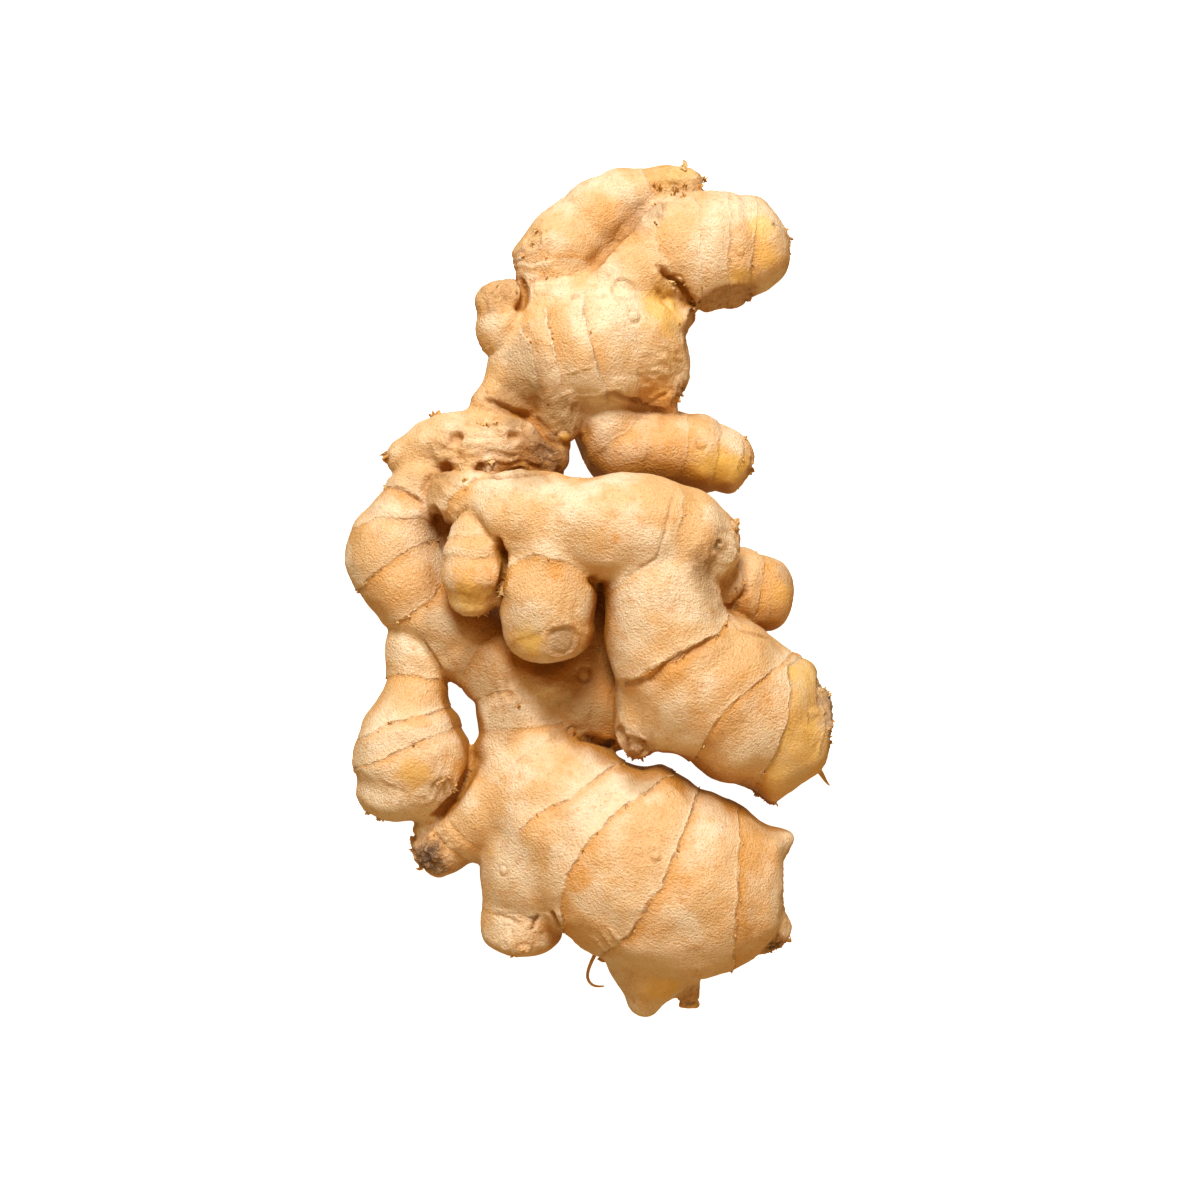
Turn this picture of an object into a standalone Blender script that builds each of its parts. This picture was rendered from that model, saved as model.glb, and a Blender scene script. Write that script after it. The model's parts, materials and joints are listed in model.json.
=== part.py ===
"""A whole ginger rhizome, lying as it rests on a table.

The root grew as one piece, so it is one solid: a knotted old joint, three hands that
branch from it, and the short fingers, buds and broken stubs of each hand.
Metres, +Z up. The origin is on the table, under the middle of the root's box.
"""

import math

import bmesh
import bpy
from mathutils import Vector, noise

# Driving dimensions
MM = 0.001
SKIN_GRID = 0.8 * MM          # spacing of the skin mesh that joins the fingers into one body
FILLET_PASSES = 5             # smoothing passes, which round the crotch between two fingers
SOLID_FACES = 11000           # triangles left in the finished solid
HOOP_SIDES = 32               # points round a finger
HOOP_STEP = 0.8               # mm between two hoops along a finger
DOME_HOOPS = 5                # hoops that close the end of a finger
RING_DEPTH = 0.55             # mm that a growth ring pinches the finger
RING_WIDTH = 1.3              # mm over which it does
SWELL = 0.25                  # mm that the skin swells between two rings
LUMP_HEIGHT = 0.55 * MM       # how far the skin swells and sinks between its growth rings
LUMP_LENGTH = 9.0 * MM        # from one swelling to the next
RESTING_DEPTH = 0.9 * MM      # how much of the lowest skin is flattened where the root rests
TABLE_BLOCK = 10 * MM         # depth of the block that trims those flats

ROUND_END = 0.9               # a growing tip
BLUNT_END = 0.45              # a broken or dried end

# Each finger is a line of stations (x, y, z, half width) in millimetres, from its base to its tip.
# flat is its height over its width, and end is how far its tip is domed. rings are its growth rings,
# in millimetres along it, and tilt is how far they lean, as a slope across the finger.
FINGERS = {
    "old_joint": dict(
        flat=0.95, end=BLUNT_END,
        rings=[7, 12.5, 18, 24], tilt=0,
        stations=[
            (-39.5, 28, 16, 4.5), (-33.5, 30, 16, 7.6), (-25, 30.5, 17, 9), (-16, 29.6, 16, 8.8),
            (-9.6, 27.6, 15, 6.9),
        ],
    ),
    "old_joint_peak": dict(
        flat=1.0, end=BLUNT_END,
        stations=[(-30, 29, 16, 7), (-32, 34, 17, 4.8), (-33, 36.5, 17, 2.8)],
    ),
    "upper_neck": dict(
        flat=1.0, end=ROUND_END,
        rings=[5, 9.5], tilt=0,
        stations=[(-25, 31, 17, 7.5), (-20, 38, 17, 6), (-13, 45, 16.5, 9)],
    ),
    "upper_hand": dict(
        flat=0.98, end=BLUNT_END,
        rings=[1.7, 7.4, 15.7, 25.2], tilt=0.2,
        stations=[
            (-14.5, 44, 17, 8), (-11, 46.5, 17, 10.8), (-5, 50, 16, 14.2), (4, 52.3, 15, 14),
            (11, 51, 14.5, 12.6), (14.8, 49.4, 14.5, 10.4),
        ],
    ),
    "upper_hand_heel": dict(
        flat=1.0, end=ROUND_END,
        stations=[(10, 51, 15, 8), (14, 45.5, 15, 7.4), (15.5, 42.8, 15, 5.8)],
    ),
    "upper_hand_rim": dict(
        flat=1.0, end=BLUNT_END,
        stations=[(12, 55.5, 15, 7), (17.6, 57.8, 16, 4.2)],
    ),
    "upper_hand_bud": dict(
        flat=1.0, end=ROUND_END,
        stations=[
            (-6, 46, 17.5, 9.5), (-7, 38.8, 18, 6.4), (-6.2, 34.2, 18.6, 3.6), (-5.7, 32.6, 18.8, 2.2),
        ],
    ),
    "crown_finger": dict(
        flat=1.0, end=ROUND_END,
        rings=[6.9, 11.4, 22, 31, 38], tilt=-0.1,
        stations=[
            (-6, 58, 16, 9.6), (-8.2, 64.5, 15, 7.6), (-7.6, 70.2, 14, 9.4), (-4.2, 73.6, 13, 8.5),
            (-0.2, 76.9, 12.5, 7.8), (5.6, 81.2, 12.5, 6.6), (11.4, 84.6, 13, 4.6), (16.4, 86.2, 14, 3.3),
            (21, 86.2, 15, 2.6),
        ],
    ),
    "crown_thumb": dict(
        flat=1.0, end=0.6,
        rings=[14.3, 23, 29.4, 35.3], tilt=0.08,
        stations=[
            (4, 58, 15.5, 10.5), (10, 65.8, 15, 9.2), (16, 71, 13.8, 11), (22.5, 71.4, 12.6, 12.4),
            (30.5, 71.8, 11.7, 11.8), (35.6, 73.2, 11.7, 9),
        ],
    ),
    "side_bud": dict(
        flat=1.0, end=ROUND_END,
        rings=[7, 11], tilt=0,
        stations=[(-11.5, 51, 17, 7), (-17.5, 54.5, 17.5, 6.8), (-19, 60.3, 18, 5.5)],
    ),
    "hanging_finger": dict(
        flat=1.0, end=0.7,
        rings=[11, 18, 27, 33.5], tilt=-0.1,
        stations=[
            (0.5, 42.5, 14, 6.5), (3.2, 35.4, 12.5, 7.7), (7.4, 30.6, 11.5, 8.4), (15, 30, 11, 8.4),
            (23.5, 28.4, 10.5, 8.5), (29.2, 26.9, 10.5, 6.7),
        ],
    ),
    "left_arm": dict(
        flat=0.97, end=ROUND_END,
        rings=[8.2, 13.1, 22.5, 34.3, 48.6, 60.4], tilt=-0.15,
        stations=[
            (-34, 27, 16, 7), (-37.4, 20.5, 16, 6.3), (-41, 12.5, 14, 9.6), (-41, 5, 12.5, 11),
            (-35.6, -2, 12, 10.6), (-29.5, -7.5, 12, 10.3), (-22.8, -12.5, 12, 10), (-17, -19, 12, 9.4),
            (-15.3, -27, 12, 9.2),
        ],
    ),
    "left_bulb": dict(
        flat=0.98, end=0.6,
        rings=[8.8, 17.1, 23, 32.5], tilt=-0.3,
        stations=[
            (-36.5, -9, 12, 7.5), (-36.8, -16.5, 12, 6.6), (-37.8, -22.4, 12, 7.8), (-38.2, -28.7, 12, 11),
            (-38.4, -35.5, 11.8, 12.2), (-40.2, -41, 11.5, 11.4), (-41.6, -44.4, 11.5, 8.8),
        ],
    ),
    "under_joint": dict(
        flat=1.0, end=ROUND_END,
        stations=[(-14, -21, 12, 8.5), (-7, -21, 11.5, 9), (0, -23, 11, 9.2), (5, -25, 11, 8.4)],
    ),
    "under_finger": dict(
        flat=1.0, end=ROUND_END,
        stations=[(-3, -21, 11.5, 8.5), (-1, -11, 12, 7.4), (0, -2, 13, 7.6), (0, 3, 13.5, 6.6)],
    ),
    "under_bud": dict(
        flat=1.0, end=ROUND_END,
        stations=[(-27, 26, 15, 7), (-28.5, 17, 12.5, 6.6), (-28.5, 9.5, 11.5, 5.4)],
    ),
    "lower_hand": dict(
        flat=0.8, end=BLUNT_END,
        rings=[2.6, 7.8, 20.8, 29.9, 47.7, 63.4], tilt=0.05,
        stations=[
            (-15.3, -26, 12, 9.2), (-13, -34.5, 13, 11.8), (-7.8, -44.2, 14.5, 15.8),
            (2, -53.4, 15.7, 19.2), (11.5, -59.2, 16.4, 20.2), (21, -62.6, 16, 19.5),
            (29.5, -63.8, 14.5, 17.1), (33.2, -64.3, 14, 14.5),
        ],
    ),
    "lower_left_stub": dict(
        flat=1.0, end=BLUNT_END,
        rings=[11, 15.5], tilt=0,
        stations=[
            (-18, -43, 12, 9.8), (-24.6, -48, 10.5, 8.8), (-31.6, -54, 9, 6.8), (-34.6, -56.4, 8.6, 5.4),
        ],
    ),
    "lower_foot": dict(
        flat=1.0, end=BLUNT_END,
        rings=[17.1], tilt=-0.1,
        stations=[
            (-7, -51, 14.5, 14.6), (-12.5, -60, 12.5, 11.2), (-14.6, -67.5, 10.5, 8.8),
            (-14.8, -73.4, 9.6, 8.3),
        ],
    ),
    "lower_point": dict(
        flat=0.9, end=ROUND_END,
        stations=[(14, -70, 13, 14), (12.4, -80, 11, 9.8), (11, -87, 10, 4)],
    ),
    "lower_broken_root": dict(
        flat=1.0, end=BLUNT_END,
        stations=[(19, -77, 11, 6), (20.4, -83.5, 10, 2.8), (20.7, -87.2, 9.5, 2.1)],
    ),
    "lower_corner": dict(
        flat=1.0, end=BLUNT_END,
        stations=[(28, -65, 12, 10.5), (35.5, -71, 11, 6.6), (39, -73.2, 11, 4.2)],
    ),
    "lower_shoulder": dict(
        flat=1.0, end=BLUNT_END,
        stations=[(29, -57, 14, 10), (36.5, -54.5, 14, 5.5), (39.5, -53.5, 14, 2.8)],
    ),
    "middle_hand": dict(
        flat=1.0, end=ROUND_END,
        rings=[5, 22.8, 47.4], tilt=0.25,
        stations=[
            (-29, 20, 21, 6), (-23, 17.5, 25, 7), (-16, 15.6, 28, 8.8), (-6.5, 14.5, 29.5, 10),
            (3, 13.4, 30, 11), (12.5, 11.8, 29, 11.6), (19.5, 10.3, 27, 10.6), (23.2, 9.2, 25.5, 8.6),
        ],
    ),
    "middle_knob": dict(
        flat=1.0, end=BLUNT_END,
        stations=[(19, 14.5, 25.5, 6.4), (27.4, 13.2, 24, 3.6)],
    ),
    "middle_small_finger": dict(
        flat=1.0, end=0.8,
        rings=[6.3, 11, 17], tilt=-0.2,
        stations=[(-21, 16, 25.5, 7), (-23.6, 9.5, 27.5, 6.4), (-24.6, 2, 28, 6.8), (-25, -1, 27, 5.4)],
    ),
    "middle_finger": dict(
        flat=1.0, end=0.55,
        rings=[9.1, 22], tilt=0,
        stations=[
            (-7.5, 15, 29.5, 9.6), (-8.4, 7.5, 29.4, 9), (-9.2, -1, 28.4, 9.8), (-9, -7.5, 27, 9.9),
            (-8.8, -10.2, 26.5, 8.8),
        ],
    ),
    "right_lobe": dict(
        flat=0.93, end=0.4,
        rings=[6.8, 28.6, 42.1, 56.5], tilt=0.05,
        stations=[
            (11.5, 12.5, 29, 11), (13.4, 5, 28.8, 11), (14.6, -2, 28, 11.6), (15.8, -9, 26.5, 12.8),
            (19.2, -15.6, 24, 14.9), (25.9, -21.2, 20, 16.3), (34.4, -26.2, 16.5, 16.2),
            (41, -30.2, 15, 14.2), (45.8, -31.4, 14.6, 11.2),
        ],
    ),
    "right_lobe_point": dict(
        flat=1.0, end=ROUND_END,
        stations=[(32, -34, 14, 8), (37.3, -42.5, 11, 3)],
    ),
    "right_lobe_stub": dict(
        flat=1.0, end=BLUNT_END,
        stations=[(12.5, -20, 23, 8), (9.4, -28, 21, 5.2), (8.8, -31.4, 20.5, 4)],
    ),
    "right_back_finger": dict(
        flat=1.0, end=0.8,
        rings=[8, 14], tilt=0,
        stations=[(21, 3, 19, 7.5), (28.5, 0.8, 15, 8.6), (34.3, -0.6, 13, 8.6), (36.9, -1, 12.5, 7.4)],
    ),
}


def clear_scene():
    for thing in list(bpy.data.objects):
        bpy.data.objects.remove(thing, do_unlink=True)


def ginger_skin():
    """Thin tan cork over yellow flesh: matt, with no metal in it."""
    skin = bpy.data.materials.new("ginger_skin")
    skin.use_nodes = True
    shader = skin.node_tree.nodes["Principled BSDF"]
    shader.inputs["Base Color"].default_value = (0.74, 0.43, 0.19, 1.0)
    shader.inputs["Roughness"].default_value = 0.62
    shader.inputs["Metallic"].default_value = 0.0
    return skin


def smooth_line(stations):
    """Samples a Catmull-Rom curve through the stations, with its half width as a fourth value."""
    points = [Vector(station) for station in stations]
    points = [2 * points[0] - points[1]] + points + [2 * points[-1] - points[-2]]
    samples = []
    for a, b, c, d in zip(points, points[1:], points[2:], points[3:]):
        count = max(2, round((c.xyz - b.xyz).length / HOOP_STEP))
        for i in range(count):
            t = i / count
            samples.append(
                0.5 * (2 * b + (c - a) * t + (2 * a - 5 * b + 4 * c - d) * t**2 + (3 * b - a - 3 * c + d) * t**3)
            )
    samples.append(points[-2])
    return samples


def domed(samples, end):
    """Closes both ends of a finger with a dome, end times as long as the finger's half width there."""
    def dome(tip, inner, share):
        way = (tip.xyz - inner.xyz).normalized()
        hoops = []
        for i in range(1, DOME_HOOPS + 1):
            turn = math.radians(84) * i / DOME_HOOPS
            centre = tip.xyz + way * (tip.w * share * math.sin(turn))
            hoops.append(Vector((*centre, tip.w * math.cos(turn))))
        return hoops

    first = dome(samples[0], samples[1], ROUND_END)
    return first[::-1] + samples + dome(samples[-1], samples[-2], end)


def ring_relief(along, rings):
    """Millimetres that the skin stands out at this distance along a finger: pinched at a ring, full between."""
    if not rings:
        return 0.0
    before = max([ring for ring in rings if ring <= along], default=rings[0] - 10)
    after = min([ring for ring in rings if ring > along], default=rings[-1] + 10)
    pinch = sum(math.exp(-((along - ring) / RING_WIDTH) ** 2) for ring in rings)
    swell = math.sin(math.pi * min(max((along - before) / (after - before), 0), 1))
    return SWELL * swell - RING_DEPTH * pinch


def add_finger(mesh, stations, flat, end, rings=(), tilt=0.0):
    """Lofts one finger into the mesh, as hoops bridged from its base to its tip."""
    samples = domed(smooth_line(stations), end)
    hoops = []
    along = (samples[DOME_HOOPS].xyz - samples[0].xyz).length * -1
    for i, sample in enumerate(samples):
        before = samples[max(i - 1, 0)].xyz
        after = samples[min(i + 1, len(samples) - 1)].xyz
        along += (sample.xyz - before).length
        forward = (after - before).normalized()
        across = forward.cross(Vector((0, 0, 1))).normalized()
        lift = across.cross(forward)
        hoop = []
        for k in range(HOOP_SIDES):
            turn = 2 * math.pi * k / HOOP_SIDES
            lean = -tilt * sample.w * math.cos(turn)
            reach = sample.w + ring_relief(along - lean, rings) * min(sample.w / 5, 1)
            offset = across * math.cos(turn) + lift * (flat * math.sin(turn))
            hoop.append(mesh.verts.new((sample.xyz + offset * reach) * MM))
        hoops.append(hoop)
    for hoop, following in zip(hoops, hoops[1:]):
        for k in range(HOOP_SIDES):
            j = (k + 1) % HOOP_SIDES
            mesh.faces.new((hoop[k], hoop[j], following[j], following[k]))
    mesh.faces.new(hoops[0][::-1])
    mesh.faces.new(hoops[-1])


def raw_fingers():
    """All fingers as closed lofts that run into each other."""
    mesh = bmesh.new()
    for finger in FINGERS.values():
        add_finger(mesh, **finger)
    bmesh.ops.recalc_face_normals(mesh, faces=mesh.faces)
    data = bpy.data.meshes.new("fingers")
    mesh.to_mesh(data)
    mesh.free()
    root = bpy.data.objects.new("fingers", data)
    bpy.context.collection.objects.link(root)
    return root


def evaluated_mesh(thing, name):
    """A new mesh holding the object as its modifiers leave it."""
    bpy.context.view_layer.update()
    graph = bpy.context.evaluated_depsgraph_get()
    data = bpy.data.meshes.new_from_object(thing.evaluated_get(graph), depsgraph=graph)
    data.name = name
    return data


def grown_together(fingers):
    """The fingers under one skin, with rounded crotches and the low swellings of a grown root."""
    skin = fingers.modifiers.new("one_skin", "REMESH")
    skin.mode = "VOXEL"
    skin.voxel_size = SKIN_GRID
    soften = fingers.modifiers.new("crotches", "SMOOTH")
    soften.factor = 0.5
    soften.iterations = FILLET_PASSES
    data = evaluated_mesh(fingers, "ginger_root")
    normals = [vertex.normal.copy() for vertex in data.vertices]
    for vertex, normal in zip(data.vertices, normals):
        place = vertex.co / LUMP_LENGTH
        vertex.co += normal * (LUMP_HEIGHT * noise.noise(place) + 0.4 * LUMP_HEIGHT * noise.noise(place * 2.3))
    bpy.data.objects.remove(fingers, do_unlink=True)
    return data


def table_cutter():
    """A block with the table as its top, which trims the spots that the root rests on."""
    mesh = bmesh.new()
    bmesh.ops.create_cube(mesh, size=1.0)
    bmesh.ops.scale(mesh, vec=(0.3, 0.3, TABLE_BLOCK), verts=mesh.verts)
    bmesh.ops.translate(mesh, vec=(0, 0, RESTING_DEPTH - TABLE_BLOCK / 2), verts=mesh.verts)
    data = bpy.data.meshes.new("table_cutter")
    mesh.to_mesh(data)
    mesh.free()
    cutter = bpy.data.objects.new("table_cutter", data)
    cutter.hide_render = True
    cutter.display_type = "WIRE"
    bpy.context.collection.objects.link(cutter)
    return cutter


def on_the_table(data):
    """Moves the mesh so that its lowest point is at Z = 0 and the middle of its box is over the origin."""
    corners = [[pick(vertex.co[axis] for vertex in data.vertices) for axis in range(3)] for pick in (min, max)]
    low, high = map(Vector, corners)
    shift = Vector(((low.x + high.x) / 2, (low.y + high.y) / 2, low.z))
    for vertex in data.vertices:
        vertex.co -= shift
    return data


def ginger_root():
    whole = bpy.data.objects.new("whole", grown_together(raw_fingers()))
    bpy.context.collection.objects.link(whole)
    fewer = whole.modifiers.new("fewer_faces", "DECIMATE")
    fewer.ratio = SOLID_FACES / (2 * len(whole.data.polygons))
    rest = whole.modifiers.new("resting_flats", "BOOLEAN")
    rest.operation = "DIFFERENCE"
    rest.solver = "EXACT"
    rest.object = table_cutter()
    root = bpy.data.objects.new("ginger_root", on_the_table(evaluated_mesh(whole, "ginger_root")))
    root.data.materials.append(ginger_skin())
    root.data.shade_smooth()
    bpy.context.collection.objects.link(root)
    for helper in (rest.object, whole):
        bpy.data.objects.remove(helper, do_unlink=True)
    return root


clear_scene()
ginger_root()
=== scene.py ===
import json
import math

import bpy
import numpy as np
from mathutils import Matrix, Vector
from mathutils.bvhtree import BVHTree
from mathutils.kdtree import KDTree

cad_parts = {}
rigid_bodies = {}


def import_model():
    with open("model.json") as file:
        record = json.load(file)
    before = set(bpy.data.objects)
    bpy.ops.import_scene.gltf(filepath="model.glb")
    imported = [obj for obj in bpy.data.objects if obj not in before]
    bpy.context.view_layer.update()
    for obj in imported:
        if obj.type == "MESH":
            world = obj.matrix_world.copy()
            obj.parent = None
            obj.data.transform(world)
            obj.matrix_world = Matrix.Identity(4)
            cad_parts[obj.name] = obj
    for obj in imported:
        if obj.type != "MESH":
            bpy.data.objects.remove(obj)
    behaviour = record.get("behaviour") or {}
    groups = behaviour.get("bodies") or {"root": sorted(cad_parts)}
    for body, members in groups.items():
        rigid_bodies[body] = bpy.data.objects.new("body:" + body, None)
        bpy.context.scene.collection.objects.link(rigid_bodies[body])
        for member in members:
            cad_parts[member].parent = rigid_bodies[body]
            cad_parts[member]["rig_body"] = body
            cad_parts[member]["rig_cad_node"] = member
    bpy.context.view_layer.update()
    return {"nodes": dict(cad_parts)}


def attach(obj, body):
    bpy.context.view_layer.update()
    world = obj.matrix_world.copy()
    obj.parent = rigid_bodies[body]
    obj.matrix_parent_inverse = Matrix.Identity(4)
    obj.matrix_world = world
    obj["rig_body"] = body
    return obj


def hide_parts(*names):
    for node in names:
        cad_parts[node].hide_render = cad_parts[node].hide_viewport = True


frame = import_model()
print("frame loaded")

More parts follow.
